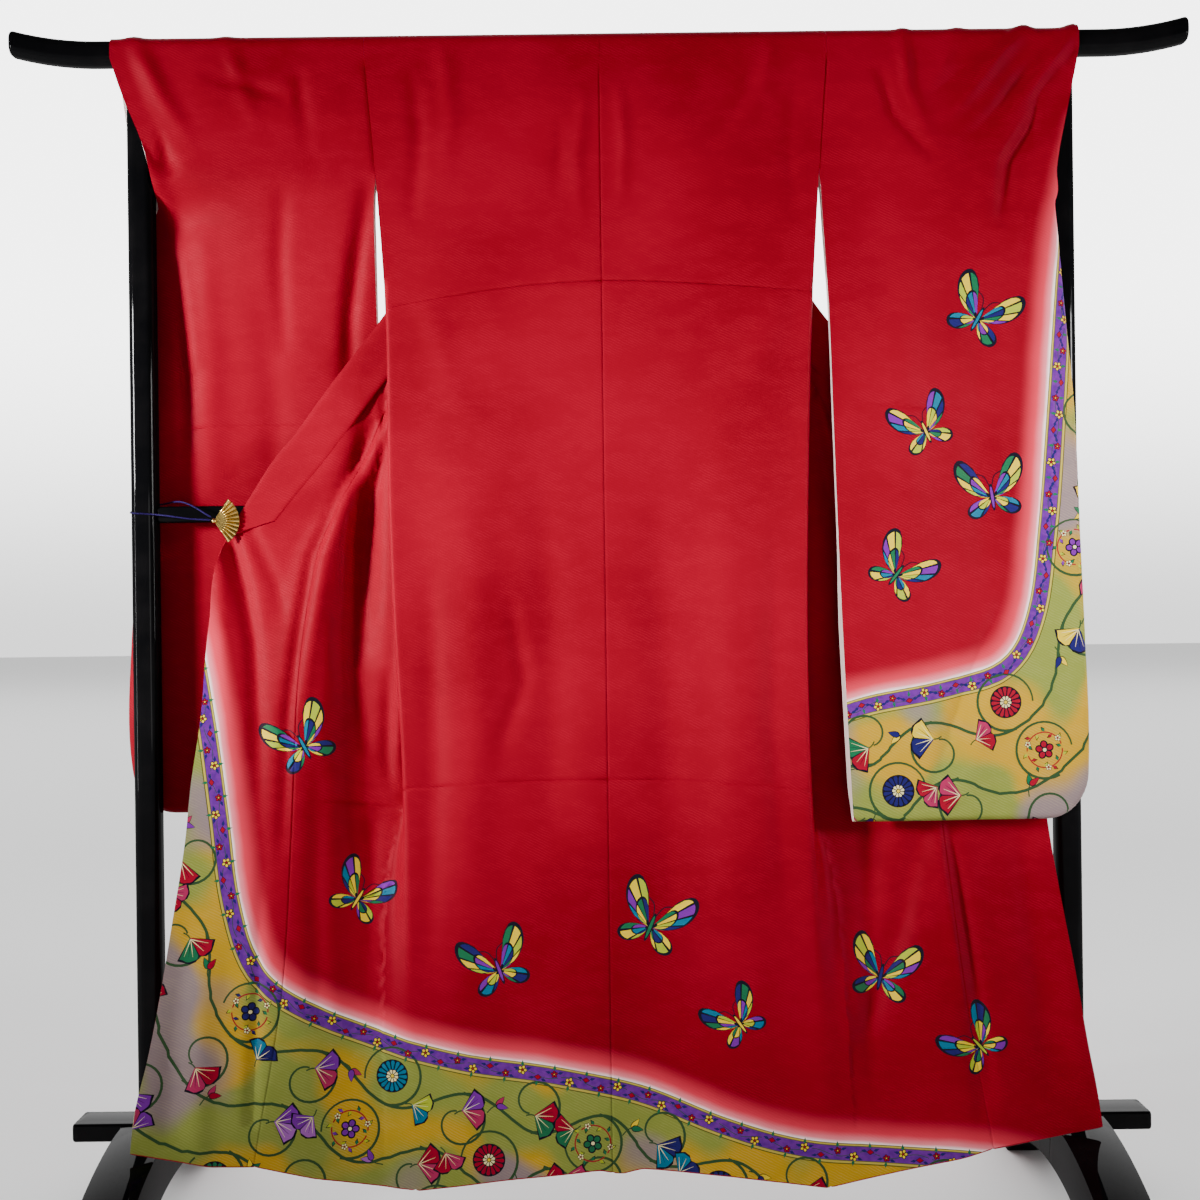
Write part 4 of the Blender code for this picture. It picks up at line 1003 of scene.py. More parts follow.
# a round chrysanthemum: sixteen long petals over a ring of short ones
def chrysanthemum(petal, inner):
    shapes = [(ringOf(36, 0.5), "ink")]
    for count, low, high, dye, shift in ((16, 0.20, 0.465, petal, 0.0), (9, 0.07, 0.185, inner, 9.0)):
        half = math.pi / count * 0.74
        a = np.array([-half * 0.7, half * 0.7, half, half * 0.6, 0.0, -half * 0.6, -half])
        r = np.array([low, low, high * 0.88, high * 0.98, high, high * 0.98, high * 0.88])
        one = np.stack([r * np.cos(a), r * np.sin(a)], axis=1)
        for k in range(count):
            shapes += placed([(one, dye)], (0, 0), 360 / count * k + shift, 1.0)
    return shapes + [(ringOf(8, 0.05), "yellow")]


# a fan-shaped leaf in two halves, with fine veins and a stalk
def fanLeaf(left, right):
    def lobe(low, high, scale):
        a = np.radians(np.linspace(low, high, 9))
        r = 0.74 * scale * (1.0 - 0.20 * np.exp(-(a / 0.12) ** 2)) * (1.0 + 0.03 * np.cos(11 * a))
        rim = np.stack([r * np.sin(a), r * np.cos(a) - 0.30], axis=1)
        return np.concatenate([[(0.0, -0.30 - 0.02 * scale)], rim])

    shapes = [(strip(smoothPath([(0.0, -0.28), (0.02, -0.42), (0.10, -0.56)], 3), 0.045), "vine"),
              (lobe(-58, 58, 1.08), "ink"), (lobe(-55, -2, 0.99), left), (lobe(2, 55, 0.99), right)]
    for a in (-46, -32, -19, 19, 32, 46):
        tip = (0.60 * math.sin(math.radians(a)), 0.60 * math.cos(math.radians(a)) - 0.30)
        shapes.append((strip([(0.0, -0.26), tip], 0.030, 0.25), "ink" if abs(a) == 32 else "cream"))
    return shapes


# a pair of drops on one stalk
def dropBuds(first, second):
    a = roundAngles(14)
    drop = np.stack([0.24 * np.cos(a) + 0.24, 0.15 * np.sin(a) * np.sin(a / 2) ** 1.2], axis=1)
    shapes = [(strip(smoothPath([(-0.5, -0.1), (-0.2, 0.02), (0.02, 0.0)], 3), 0.05), "vine")]
    for turn, dye in ((28, first), (-34, second)):
        shapes += placed([(drop * (1.12, 1.3) - (0.03, 0.0), "ink"), (drop, dye)], (0.0, 0.0), turn, 1.0)
    return shapes


# a thin ring of stem with small leaves, round a blossom
def wreath(petal, leafDye, stem):
    shapes = []
    for start in (8, 188):
        a = np.radians(np.linspace(start, start + 165, 16))
        shapes.append((strip(0.40 * np.stack([np.cos(a), np.sin(a)], axis=1), 0.030), stem))
    small = np.array([(0.0, 0.0), (0.05, 0.035), (0.12, 0.0), (0.05, -0.035)])
    for k in range(14):
        reach, turn = (0.41, 40) if k % 2 else (0.39, 150)
        a = math.radians(360 / 14 * k)
        spot = (reach * math.cos(a), reach * math.sin(a))
        shapes += placed([(small * 1.25, "ink"), (small, (leafDye, "lime", petal)[k % 3])], spot,
                         360 / 14 * k + turn, 1.0)
    for k in range(3):
        a = math.radians(120 * k + 30)
        spot = (0.40 * math.cos(a), 0.40 * math.sin(a))
        shapes += placed(blossom("cream", "crimson", False), spot, 40 * k, 0.16)
    return shapes + placed(blossom(petal, "cream"), (0, 0), 15, 0.44)


# wings in inked cells: each wing is a lobe in angle and radius about its root, cut up by its veins
def butterfly(tones):
    shapes = []
    count = 0
    wings = (
        (-78.0, -4.0, 0.40, 0.62, 3),      # from, to, reach, where its tip is, cells
        (0.0, 66.0, 0.68, 0.80, 5),
    )
    for mirror in (1.0, -1.0):
        for low, high, reach, tip, cells in wings:
            def edge(share):
                share = np.clip(share, 0.02, 0.98)
                bulge = (share / tip) ** (2.2 * tip) * ((1.0 - share) / (1.0 - tip)) ** (2.2 * (1.0 - tip))
                return reach * bulge ** 0.62

            def spot(share, radius):
                a = np.radians(low + (high - low) * share)
                return np.stack([mirror * (0.015 + radius * np.cos(a)), radius * np.sin(a)], axis=1)

            share = np.linspace(0.0, 1.0, 22)
            shapes.append((np.concatenate([spot(share, edge(share) * 1.04 + 0.012),
                                           spot(share[::-1], 0.02)]), "ink"))
            for k in range(cells):
                part = np.linspace((k + 0.10) / cells, (k + 0.90) / cells, 5)
                for inner, outer in ((0.14, 0.56), (0.61, 0.97)):
                    back = part[::-1]
                    ring = np.concatenate([spot(part, edge(part) * outer), spot(back, edge(back) * inner)])
                    shapes.append((ring, tones[count % len(tones)]))
                    count += 1
        feeler = smoothPath([(0.01 * mirror, 0.14), (0.07 * mirror, 0.30), (0.18 * mirror, 0.36)], 4)
        shapes.append((strip(feeler, 0.014), "ink"))
    shapes.append((ringOf(14, 1.0) * (0.036, 0.20), "ink"))
    shapes.append((ringOf(12, 1.0) * (0.020, 0.16), tones[0]))
    return shapes


borderStep = 0.002


# along a border: evenly spaced points, the way ahead and the way into the field
def alongBorder(part):
    path = evenly(borders[part]["path"], borderStep)
    ahead = np.gradient(path, axis=0)
    ahead /= np.linalg.norm(ahead, axis=1)[:, None]
    inwards = np.stack([-ahead[:, 1], ahead[:, 0]], axis=1) * borders[part]["field"]
    return path, ahead, inwards


# the band's own small pattern: a waving stem with blossoms, lozenges and paired leaves
def bandShapes(part):
    path, ahead, inwards = alongBorder(part)
    middle = silkLook["bandWidth"] / 2
    run = np.arange(len(path)) * borderStep
    wave = path + inwards * (middle + 0.0035 * np.sin(run * 2 * math.pi / 0.068))[:, None]
    shapes = []
    for k in range(0, len(wave) - 17, 16):
        shapes.append((strip(wave[k:k + 15], 0.0009), "vine"))
    for n, k in enumerate(range(6, len(path) - 6, 11)):
        spot = path[k] + inwards[k] * (middle + 0.0034 * (-1) ** n)
        turn = math.degrees(math.atan2(ahead[k][1], ahead[k][0]))
        if n % 3 == 0:
            shapes += placed(blossom("yellow", "crimson", False), spot, turn, 0.0135)
        elif n % 3 == 1:
            lozenge = np.array([(0.5, 0.0), (0.0, 0.36), (-0.5, 0.0), (0.0, -0.36)])
            shapes += placed([(lozenge * 1.3, "ink"), (lozenge, "crimson")], spot, turn, 0.0085)
        else:
            shapes += placed(blossom("crimson", "yellow", False), spot, turn + 30, 0.0105)
        leaf = np.array([(0.45, 0.0), (0.75, 0.20), (1.25, 0.0), (0.75, -0.20)])
        for lean in (20, 95, 170):
            dye = "green" if lean == 95 else "navy"
            shapes += placed([(leaf, dye)], spot, turn - lean * (-1) ** n, 0.0105)
    return shapes


# rows of scrolling stems: how far apart, how they swing, and the curls and pairs of dyes along them
scrolls = {
    "rowStep": 0.082,
    "firstRow": 0.044,
    "wave": 0.190,       # length of one whole wave of the main stem
    "swing": 0.020,
    "curl": 0.039,
    "turns": 0.95,
    "stem": 0.0040,
    "pairs": (("teal", "lime"), ("crimson", "rose"), ("navy", "teal"), ("violet", "rose"),
              ("green", "yellow"), ("navy", "yellow"), ("violet", "lilac"), ("crimson", "green")),
}


# scrolling stems in rows that follow the band; each half wave curls round one motif or ends in a leaf
def fieldShapes(part, rows, seed):
    path, ahead, inwards = alongBorder(part)
    chance = np.random.default_rng(seed)
    run = np.arange(len(path)) * borderStep
    stems = []
    motifs = []
    pairs = scrolls["pairs"]
    for row in range(rows):
        depth = silkLook["bandWidth"] + scrolls["firstRow"] + scrolls["rowStep"] * row
        phase = chance.uniform(0.0, 1.0)
        wave = scrolls["wave"] / (1.0 + 0.30 * row) ** 0.5
        swing = scrolls["swing"] * np.sin(2 * math.pi * (run / wave + phase))
        stem = path + inwards * (depth + swing)[:, None]
        for k in range(0, len(stem) - 4, 21):
            stems.append((strip(stem[k:k + 25:3], scrolls["stem"]), "vine"))
        first = int((0.25 - phase) % 0.5 * wave / borderStep)
        for n, k in enumerate(range(first, len(path) - 4, int(wave / 2 / borderStep))):
            side = 1.0 if math.sin(2 * math.pi * (run[k] / wave + phase)) > 0 else -1.0
            centre = path[k] + inwards[k] * (depth - side * (scrolls["curl"] - scrolls["swing"]))
            base = math.atan2(inwards[k][1] * side, inwards[k][0] * side)
            spin = side * borders[part]["field"]
            kind = (n + 2 * row) % 5
            leafy = kind in (0, 2, 4)
            turns = scrolls["turns"] * (1.0 if leafy else 0.85)
            a = np.linspace(0.0, 2 * math.pi * turns, 26)
            radius = scrolls["curl"] * (1.0 - (0.62 if leafy else 0.04) * (a / a[-1]) ** 1.3)
            a = base - spin * a
            curl = np.stack([np.cos(a), np.sin(a)], axis=1) * radius[:, None] + centre
            stems.append((strip(curl, scrolls["stem"], 0.6), "vine"))
            outer, inner = pairs[int(chance.integers(len(pairs)))]
            if leafy:
                way = curl[-1] - curl[-3]
                way /= np.linalg.norm(way)
                turn = math.degrees(math.atan2(way[1], way[0])) - 90.0
                motifs += placed(fanLeaf(outer, inner), curl[-1] + way * 0.020, turn, 0.042)
            else:
                turn = float(chance.uniform(0, 360))
                if kind == 1:
                    motifs += placed(wreath(outer, "green", "crimson"), centre, turn, 0.060)
                else:
                    motifs += placed(chrysanthemum(outer, "cream"), centre, turn, 0.044)
            beside = centre + ahead[k] * (wave / 4) + inwards[k] * 0.030 * side
            turn = float(chance.uniform(0, 360))
            if n % 2:
                motifs += placed(dropBuds(inner, outer), beside, turn, 0.032)
            else:
                motifs += placed(fanLeaf(inner, outer), beside, turn, 0.036)
    return stems + motifs


# place in x and z, turn in degrees and width of each butterfly
butterflies = {
    "body": ((-0.415, 0.655, 28, 0.078), (-0.345, 0.445, -32, 0.070), (-0.150, 0.350, 20, 0.078),
             (0.055, 0.405, -24, 0.084), (0.175, 0.275, 36, 0.066), (0.370, 0.330, -14, 0.078),
             (0.500, 0.240, 42, 0.070)),
    "sleeve": ((0.515, 1.230, -30, 0.080), (0.440, 1.075, 24, 0.070), (0.530, 0.985, 8, 0.078),
               (0.395, 0.880, -38, 0.072)),
}
wingTones = ("teal", "yellow", "violet", "green", "yellow", "navy", "lime")
wingScale = 1.22


# one part's whole print: field, band and butterflies, whose tones move on by one each time
def printShapes(part, rows, seed):
    shapes = fieldShapes(part, rows, seed) + bandShapes(part)
    for n, (x, z, turn, size) in enumerate(butterflies[part]):
        first = n % len(wingTones)
        tones = wingTones[first:] + wingTones[:first]
        shapes += placed(butterfly(tones), (x, z), turn, size * wingScale)
    return shapes


# two narrow uncoloured strips above and below a level path, so that the net can bend sharply there
def grooveShapes(path, half):
    return [(np.concatenate([path, (path + move)[::-1]]), None) for move in ((0.0, half), (0.0, -half))]


# a running stitch along a path, its dashes dyed darker than the ground as painted shade of the tuck
def stitchShapes(path, pitch, length, width):
    spots = evenly(np.asarray(path, float), pitch)
    ahead = np.gradient(spots, axis=0)
    shapes = []
    for spot, way in zip(spots, ahead):
        turn = math.degrees(math.atan2(way[1], way[0]))
        dash = np.array([(-0.5, -0.5), (0.5, -0.5), (0.5, 0.5), (-0.5, 0.5)]) * (length, width)
        shapes += placed([(dash, "tuck")], spot, turn, 1.0)
    return shapes


tuckLine = linePath(-310, 1252, -247, 1265, -117, 1284, 0, 1291, 111, 1287, 272, 1274, 320, 1266, steps=8)
storeLine = linePath(-300, 594, -150, 604, 0, 606, 150, 600, 300, 584, steps=8)
# what each part's net is cut along: its print, and the storage folds that it bends sharply at
prints = {
    "body": printShapes("body", 4, 5),
    "sleeve": printShapes("sleeve", 3, 11),
    "back": (grooveShapes(tuckLine, 0.0014) + stitchShapes(tuckLine, 0.0055, 0.0020, 0.0009)
             + grooveShapes(storeLine, 0.0020)),
    "left sleeve": grooveShapes(linePath(-605, 1097, -520, 1101, -415, 1100), 0.0016),
    "right sleeve": grooveShapes(linePath(335, 1121, 420, 1109, 500, 1107), 0.0016),
    "left front": grooveShapes(linePath(-400, 579, -340, 572, -270, 564), 0.0018),
    "right front": [],
}
print("print drawn")

# creases: where fullest, depth (trough +, ridge -) and half width in tenths of a
# millimetre, then the path's x and z in millimetres
creaseRows = {
    "back": (
        ("start", 40, 110, 214, 1612, 207, 1560, 146, 1470),
        ("start", -35, 120, 238, 1612, 229, 1560, 172, 1465),
        ("start", 30, 70, 150, 1612, 132, 1545),
        ("both", -28, 90, -20, 1560, -32, 1460, -28, 1380),
        ("both", -30, 80, 26, 1570, 34, 1480, 28, 1400),
        ("both", 20, 80, -52, 1520, -60, 1420),
        ("start", -30, 130, -215, 1612, -206, 1520, -222, 1420),
        ("both", 30, 110, -262, 1600, -250, 1500, -262, 1380),
        ("both", 28, 110, 276, 1600, 262, 1480, 268, 1380),
        ("both", 46, 260, -85, 1020, -72, 780, -80, 500),
        ("both", -50, 300, -185, 980, -176, 740, -190, 420),
        ("both", 36, 120, -130, 860, -112, 740, -150, 640),
        ("both", 44, 280, 70, 1000, 85, 700, 78, 380),
        ("both", -50, 300, 165, 1100, 172, 800, 168, 400),
        ("both", 40, 160, 232, 940, 226, 680, 240, 420),
        ("both", 40, 160, -240, 900, -236, 640, -246, 360),
        ("start", -26, 200, -236, 1250, -200, 1130, -120, 1040),
        ("start", -26, 200, 240, 1250, 200, 1150, 130, 1060),
    ),
    "left front": (
        ("start", 105, 120, -520, 940, -500, 870, -487, 800, -480, 680, -478, 500),
        ("start", -50, 110, -538, 930, -526, 810, -515, 660),
        ("start", 40, 90, -492, 955, -455, 880, -436, 800),
        ("start", -40, 180, -472, 975, -395, 1020, -330, 1120),
        ("both", 105, 190, -318, 1170, -335, 1040, -330, 900, -345, 760),
        ("both", -100, 85, -285, 1080, -279, 960, -276, 820, -288, 600),
        ("both", 70, 80, -295, 1143, -342, 1051, -372, 988, -405, 913, -424, 803, -438, 699, -446, 500),
        ("both", -35, 80, -345, 1051, -384, 913, -402, 803, -417, 699),
        ("both", 40, 140, -375, 880, -350, 740, -330, 640),
        ("both", 50, 90, -300, 760, -304, 640, -296, 590),
        ("both", 24, 26, -392, 578, -340, 572, -276, 564),
        ("both", -14, 40, -370, 585, -330, 580, -280, 574),
        ("both", 45, 150, -326, 560, -318, 440, -322, 300),
        ("both", 45, 140, -395, 640, -400, 450, -392, 260),
        ("end", 65, 80, -470, 560, -474, 380, -482, 160),
        ("end", 50, 180, -560, 480, -578, 330, -590, 160),
        ("end", -45, 160, -535, 420, -545, 300, -550, 130),
    ),
    "right front": (
        ("both", 70, 80, 455, 620, 469, 520, 482, 425, 500, 310, 514, 170),
        ("both", -35, 80, 446, 560, 455, 480, 466, 400, 482, 290),
        ("both", 80, 170, 436, 640, 424, 511, 398, 406, 366, 311, 320, 222),
        ("both", 50, 160, 350, 560, 358, 380, 352, 180),
        ("end", 45, 130, 470, 560, 482, 380, 500, 160),
        ("both", 50, 200, 560, 600, 580, 400, 598, 180),
        ("both", -40, 160, 615, 480, 632, 320, 640, 180),
        ("both", 40, 120, 320, 1000, 330, 850, 322, 700),
        ("start", 50, 130, 500, 930, 486, 780, 480, 640),
    ),
    "left sleeve near": (
        ("both", 100, 120, -672, 1640, -673, 1603, -639, 1524, -588, 1446),
        ("start", -80, 130, -648, 1640, -610, 1560, -560, 1480),
        ("both", 60, 100, -590, 1640, -540, 1590, -430, 1552),
        ("start", -45, 120, -520, 1645, -500, 1580, -470, 1500),
        ("start", 45, 100, -420, 1645, -415, 1560, -400, 1460),
        ("both", -70, 130, -648, 1500, -606, 1411, -590, 1320, -573, 1180),
        ("both", 90, 120, -319, 1440, -338, 1338, -352, 1252, -357, 1120),
        ("both", 45, 120, -440, 1430, -448, 1330, -446, 1200),
        ("both", 60, 110, -598, 1420, -588, 1250, -590, 1060),
        ("both", -45, 200, -560, 1380, -552, 1200, -556, 1000),
        ("both", 30, 200, -470, 1300, -462, 1120, -466, 900),
        ("both", 14, 18, -605, 1097, -520, 1101, -415, 1100),
        ("both", -30, 240, -400, 1000, -410, 800, -402, 620),
    ),
    "right sleeve near": (
        ("start", 100, 95, 560, 1640, 531, 1613, 489, 1568, 447, 1531),
        ("start", -130, 110, 592, 1640, 560, 1608, 514, 1551, 468, 1498),
        ("start", 120, 110, 622, 1630, 606, 1591, 555, 1525, 492, 1464),
        ("start", -140, 110, 660, 1640, 635, 1603, 601, 1562, 555, 1509),
        ("both", 120, 110, 640, 1580, 605, 1508, 567, 1451, 553, 1360),
        ("start", -80, 80, 423, 1640, 423, 1614, 427, 1556, 467, 1469),
        ("both", 60, 75, 390, 1620, 390, 1586, 406, 1523, 467, 1452),
        ("start", -50, 90, 500, 1645, 476, 1590, 455, 1560),
        ("both", -70, 130, 655, 1540, 629, 1467, 611, 1384, 593, 1240),
        ("both", 14, 18, 335, 1121, 420, 1109, 500, 1107),
        ("both", 60, 100, 548, 850, 486, 730, 440, 590),
        ("both", -45, 160, 575, 830, 520, 700, 480, 570),
        ("both", -50, 140, 620, 1360, 614, 1160, 616, 920),
        ("both", -35, 260, 420, 1360, 412, 1150, 420, 900),
        ("both", 35, 220, 520, 1250, 512, 1050, 520, 850),
    ),
    "left sleeve far": (
        ("both", -30, 130, -640, 1600, -610, 1500, -560, 1400),
        ("both", 45, 160, -560, 1590, -520, 1480, -460, 1380),
        ("both", 40, 130, -430, 1590, -425, 1480, -450, 1360),
        ("both", 50, 240, -550, 1250, -545, 1020, -555, 760),
        ("both", 45, 260, -420, 1200, -415, 980, -420, 720),
    ),
    "right sleeve far": (
        ("both", 30, 130, 600, 1560, 560, 1460, 500, 1380),
        ("both", 30, 120, 430, 1590, 440, 1480, 470, 1380),
        ("both", 40, 240, 540, 1200, 548, 1000, 540, 760),
        ("both", 35, 240, 420, 1200, 415, 1000, 420, 720),
    ),
}
creases = {name: [(np.reshape(row[3:], (-1, 2)) / 1000.0, row[1] / 10000.0, row[2] / 10000.0, row[0])
                  for row in rows] for name, rows in creaseRows.items()}
creases["back"] += [(tuckLine, 0.0016, 0.0009, "both"), (storeLine, 0.0014, 0.0012, "both")]


# triangles of a flat panel, from its rows of points and every shape's edge
# a face takes the topmost shape's dye
def layOut(rows, shapes):
    outline = np.concatenate([rows[0], np.array([r[-1] for r in rows[1:-1]]), rows[-1][::-1],
                              np.array([r[0] for r in rows[-2:0:-1]])])
    low, high = outline.min(axis=0), outline.max(axis=0)
    points = [outline]
    faces = [np.arange(len(outline))]
    tones = [None]
    count = len(outline)
    for ring, dye in shapes:
        if np.any(ring.max(axis=0) < low) or np.any(ring.min(axis=0) > high):
            continue
        after = np.roll(ring, -1, axis=0)
        if np.sum(ring[:, 0] * after[:, 1] - after[:, 0] * ring[:, 1]) < 0.0:
            ring = ring[::-1]
        points.append(ring)
        faces.append(np.arange(count, count + len(ring)))
        tones.append(dye)
        count += len(ring)
    points.append(np.concatenate([r[1:-1] for r in rows[1:-1]]))
    flat = np.concatenate(points) * 1000.0
    rings = [face.tolist() for face in faces]
    made = geometry.delaunay_2d_cdt([Vector(p) for p in flat], [], rings, 1, 0.002, True)
    at = np.array([(v.x, v.y) for v in made[0]]) / 1000.0
    inside = [(face, max(owners)) for face, owners in zip(made[2], made[5]) if 0 in owners]
    triangles = np.array([face for face, top in inside])
    clear = (0.0, 0.0, 0.0, 0.0)
    dye = np.array([(*dyes[tones[top]], 1.0) if tones[top] else clear for face, top in inside])
    used, triangles = np.unique(triangles, return_inverse=True)
    return at[used], triangles.reshape(-1, 3), dye


# one panel as a net: chart rows, the surface, the print's shapes in x and z, and the border it follows
def panelNet(rows, surface, side, shapes, part, turned=False):
    sign = outward[side]
    mirrored = [(ring * (sign, 1.0), dye) for ring, dye in shapes]
    at, triangles, dye = layOut(rows, mirrored)
    if (side == "left") != turned:
        triangles = triangles[:, ::-1]
    return {"points": surface(at[:, 0], at[:, 1]), "triangles": triangles, "dye": dye,
            "border": borderAt(part, at[:, 0] * sign, at[:, 1])}


# the edges that only one triangle has, as pairs of point numbers
def rimEdges(triangles, count):
    edges = np.concatenate([triangles[:, [0, 1]], triangles[:, [1, 2]], triangles[:, [2, 0]]])
    code = edges.min(axis=1) * count + edges.max(axis=1)
    _, where, times = np.unique(code, return_inverse=True, return_counts=True)
    return edges[times[where.ravel()] == 1]


# one net from several; rim points that lie together become one
def joinNets(nets):
    whole = nets[0]
    for net in nets[1:]:
        count = len(whole["points"])
        rimA = np.unique(rimEdges(whole["triangles"], count))
        rimB = np.unique(rimEdges(net["triangles"], len(net["points"])))
        apart = np.linalg.norm(whole["points"][rimA][:, None] - net["points"][rimB][None], axis=2)
        a, b = np.nonzero(apart < 0.00003)
        number = np.arange(len(net["points"])) + count
        number[rimB[b]] = rimA[a]
        points = np.concatenate([whole["points"], net["points"]])
        triangles = np.concatenate([whole["triangles"], number[net["triangles"]]])
        used, triangles = np.unique(triangles, return_inverse=True)
        whole = {"points": points[used], "triangles": triangles.reshape(-1, 3),
                 "dye": np.concatenate([whole["dye"], net["dye"]]),
                 "border": np.concatenate([whole["border"], net["border"]])[used]}
    return whole


# a closed thin shell: the net moved half a wall each way along its normals, and a rim between
def clothPiece(name, net, looks):
    points, triangles = net["points"], net["triangles"]
    count = len(points)
    a, b, c = (points[triangles[:, k]] for k in range(3))
    across = np.cross(b - a, c - a)
    normals = np.zeros_like(points)
    for k in range(3):
        np.add.at(normals, triangles[:, k], across)
    normals /= np.maximum(np.linalg.norm(normals, axis=1), 1e-12)[:, None]
    half = normals * cloth["wall"] / 2
    rim = rimEdges(triangles, count)
    walls = np.concatenate([np.stack([rim[:, 1], rim[:, 0], rim[:, 0] + count], axis=1),
                            np.stack([rim[:, 1], rim[:, 0] + count, rim[:, 1] + count], axis=1)])
    faces = np.concatenate([triangles, triangles[:, ::-1] + count, walls])
    kinds = np.repeat([0, 1, 2], [len(triangles), len(triangles), len(walls)])
    piece = meshPiece(name, np.concatenate([points + half, points - half]), faces, looks, kinds, 65.0)
    dye = np.zeros((len(faces), 4))
    dye[:len(triangles)] = net["dye"]
    paint(piece, "border", np.tile(net["border"], 2))
    paint(piece, "dye", np.repeat(dye, 3, axis=0), "FLOAT_COLOR", "CORNER")
    area = np.linalg.norm(across, axis=1).sum() / 2
    print(name, len(faces), "triangles,", round(float(area), 3), "square metres")
    return piece


# even values from low to high, no further apart than the spacing
def spread(low, high, spacing):
    return np.linspace(low, high, max(int(math.ceil((high - low) / spacing)), 1) + 1)


# one row of a flat panel: points at these u, at one t or one each
def chartRow(u, t):
    return np.stack(np.broadcast_arrays(np.asarray(u, float), t), axis=1)


# every other row is shifted by half a cell, so that the net's triangles are near even
def staggered(values, row):
    if row % 2 == 0 or len(values) < 4:
        return values
    middle = (values[:-1] + values[1:]) / 2
    return np.concatenate([values[:1], middle, values[-1:]])


# the ways out of the row where back and front meet at the shoulder
def shoulderOuts(side):
    return spread(float(readRows(collarRows, side, cloth["topRow"])),
                  float(readRows(sideRows, side, cloth["topRow"])), cloth["cell"])


# the back's rows from the hem to the bar and over it; past the neck only the shoulder goes on
def backNet(side):
    sign = outward[side]
    fold = cloth["sideFold"]
    rows = []
    for n, low in enumerate(spread(cloth["footRow"], cloth["topRow"], cloth["cell"])):
        z = float(overHem(low, sign * (backEdge(low, side)[0] + fold)))
        edge = float(backEdge(z, side)[0])
        start = np.array([cloth["centre"][side], 0.0006, 0.0016, 0.0030, 0.0056])
        u = np.concatenate([start, staggered(spread(0.0090, edge, cloth["cell"]), n),
                            edge + fold * np.array([0.33, 0.67, 1.0])])
        t = overHem(low, sign * u)
        t[-1] = z
        rows.append(chartRow(u, t))
    top = cloth["topRow"] + wrapLength
    neck = top - cloth["neckLow"]
    shoulder = shoulderOuts(side)
    nape = spread(cloth["centre"][side], shoulder[0], cloth["cell"])[:-1]
    for t in spread(cloth["topRow"], neck, cloth["wrapCell"])[1:]:
        rows.append(chartRow(np.concatenate([nape, shoulder]), t))
    behind = [chartRow(shoulder, t) for t in spread(neck, top, 0.0040)]

    def surface(u, t):
        return backPoint(u, t, side, creases["back"])

    shapes = prints["body"] + prints["back"]
    nets = [panelNet(rows, surface, side, shapes, "body"), panelNet(behind, surface, side, [], None)]
    return nets, rows[0]


# the front's rows: four stretches each, from the side seam round both folds to the overlap's seam
def frontNet(side):
    fold = cloth["sideFold"]

    # points of one row, from their stretch and their share of its length, lifted over the hem
    def chart(share, stretch, low):
        def where(z):
            part = frontStretches(z, side)
            ends = [0.0, fold, fold + part["first"], part["before"], part["before"] + part["leg"]]
            s = np.select([stretch == k for k in range(4)],
                          [ends[k] + (ends[k + 1] - ends[k]) * share for k in range(4)])
            return part["inner"][0] - part["before"] + s

        z = np.full(len(share), low)
        z = overHem(low, frontPoint(where(z), z, side, [])[:, 0])
        return np.stack([where(z), z], axis=1)

    rows = []
    for n, low in enumerate(spread(cloth["footRow"], cloth["topRow"], cloth["cell"])[:-1]):
        part = frontStretches(np.array([low]), side)
        lengths = [fold, float(part["first"][0]), cloth["innerFold"], float(part["leg"][0])]
        shares, stretches = [], []
        for k, (length, cell) in enumerate(zip(lengths, (0.0024, 0.0080, 0.0024, cloth["cell"]))):
            share = spread(0.0, 1.0, min(cell / length, 1.0))
            if k == 3 and length > 0.02:
                last = [1.0 - 0.0028 / length, 1.0 - 0.0012 / length, 1.0]
                share = np.append(staggered(share, n)[:-1], last)
            if k < 3:
                share = share[:-1]
            shares.append(share)
            stretches.append(np.full(len(share), k))
        rows.append(chart(np.concatenate(shares), np.concatenate(stretches), low))
    part = frontStretches(np.array([cloth["topRow"]]), side)
    outs = shoulderOuts(side)[::-1]
    w = part["inner"][0][0] - part["before"][0] + (outs[0] - outs)
    rows.append(chartRow(w, cloth["topRow"]))

    def surface(w, z):
        return frontPoint(w, z, side, creases[side + " front"])

    return panelNet(rows, surface, side, prints[side + " front"] + prints["body"], "body"), rows[0]


# the overlap's rows from its seam to its free edge, close together by the seam
def okumiNet(side):
    sign = outward[side]
    corner = [cloth["freeEdgeTop"], cloth["collarEnd"], cloth["okumiTop"]]
    lows = np.concatenate([spread(cloth["footRow"], corner[0], cloth["cell"]),
                           spread(corner[0], corner[1], 0.005)[1:],
                           spread(corner[1], corner[2], cloth["cell"])[1:]])
    rows = []
    for n, low in enumerate(lows):
        ends = np.array([okumiLow(low, side), okumiEdge(low, side)])
        z = overHem(low, ends * sign)
        start, end = float(okumiLow(z[0], side)), float(okumiEdge(z[1], side))
        u = staggered(spread(start, end, cloth["cell"]), n)
        if end - start > 0.012:
            near = start + np.array([0.0007, 0.0016, 0.0028, 0.0042])
            u = np.concatenate([u[:1], near, u[1:][u[1:] > start + 0.007]])
        t = overHem(low, u * sign)
        t[0], t[-1] = z
        rows.append(chartRow(u, t))

    def surface(u, t):
        return okumiPoint(u, t, side, creases[side + " front"])

    return panelNet(rows, surface, side, prints["body"], "body"), rows[0]


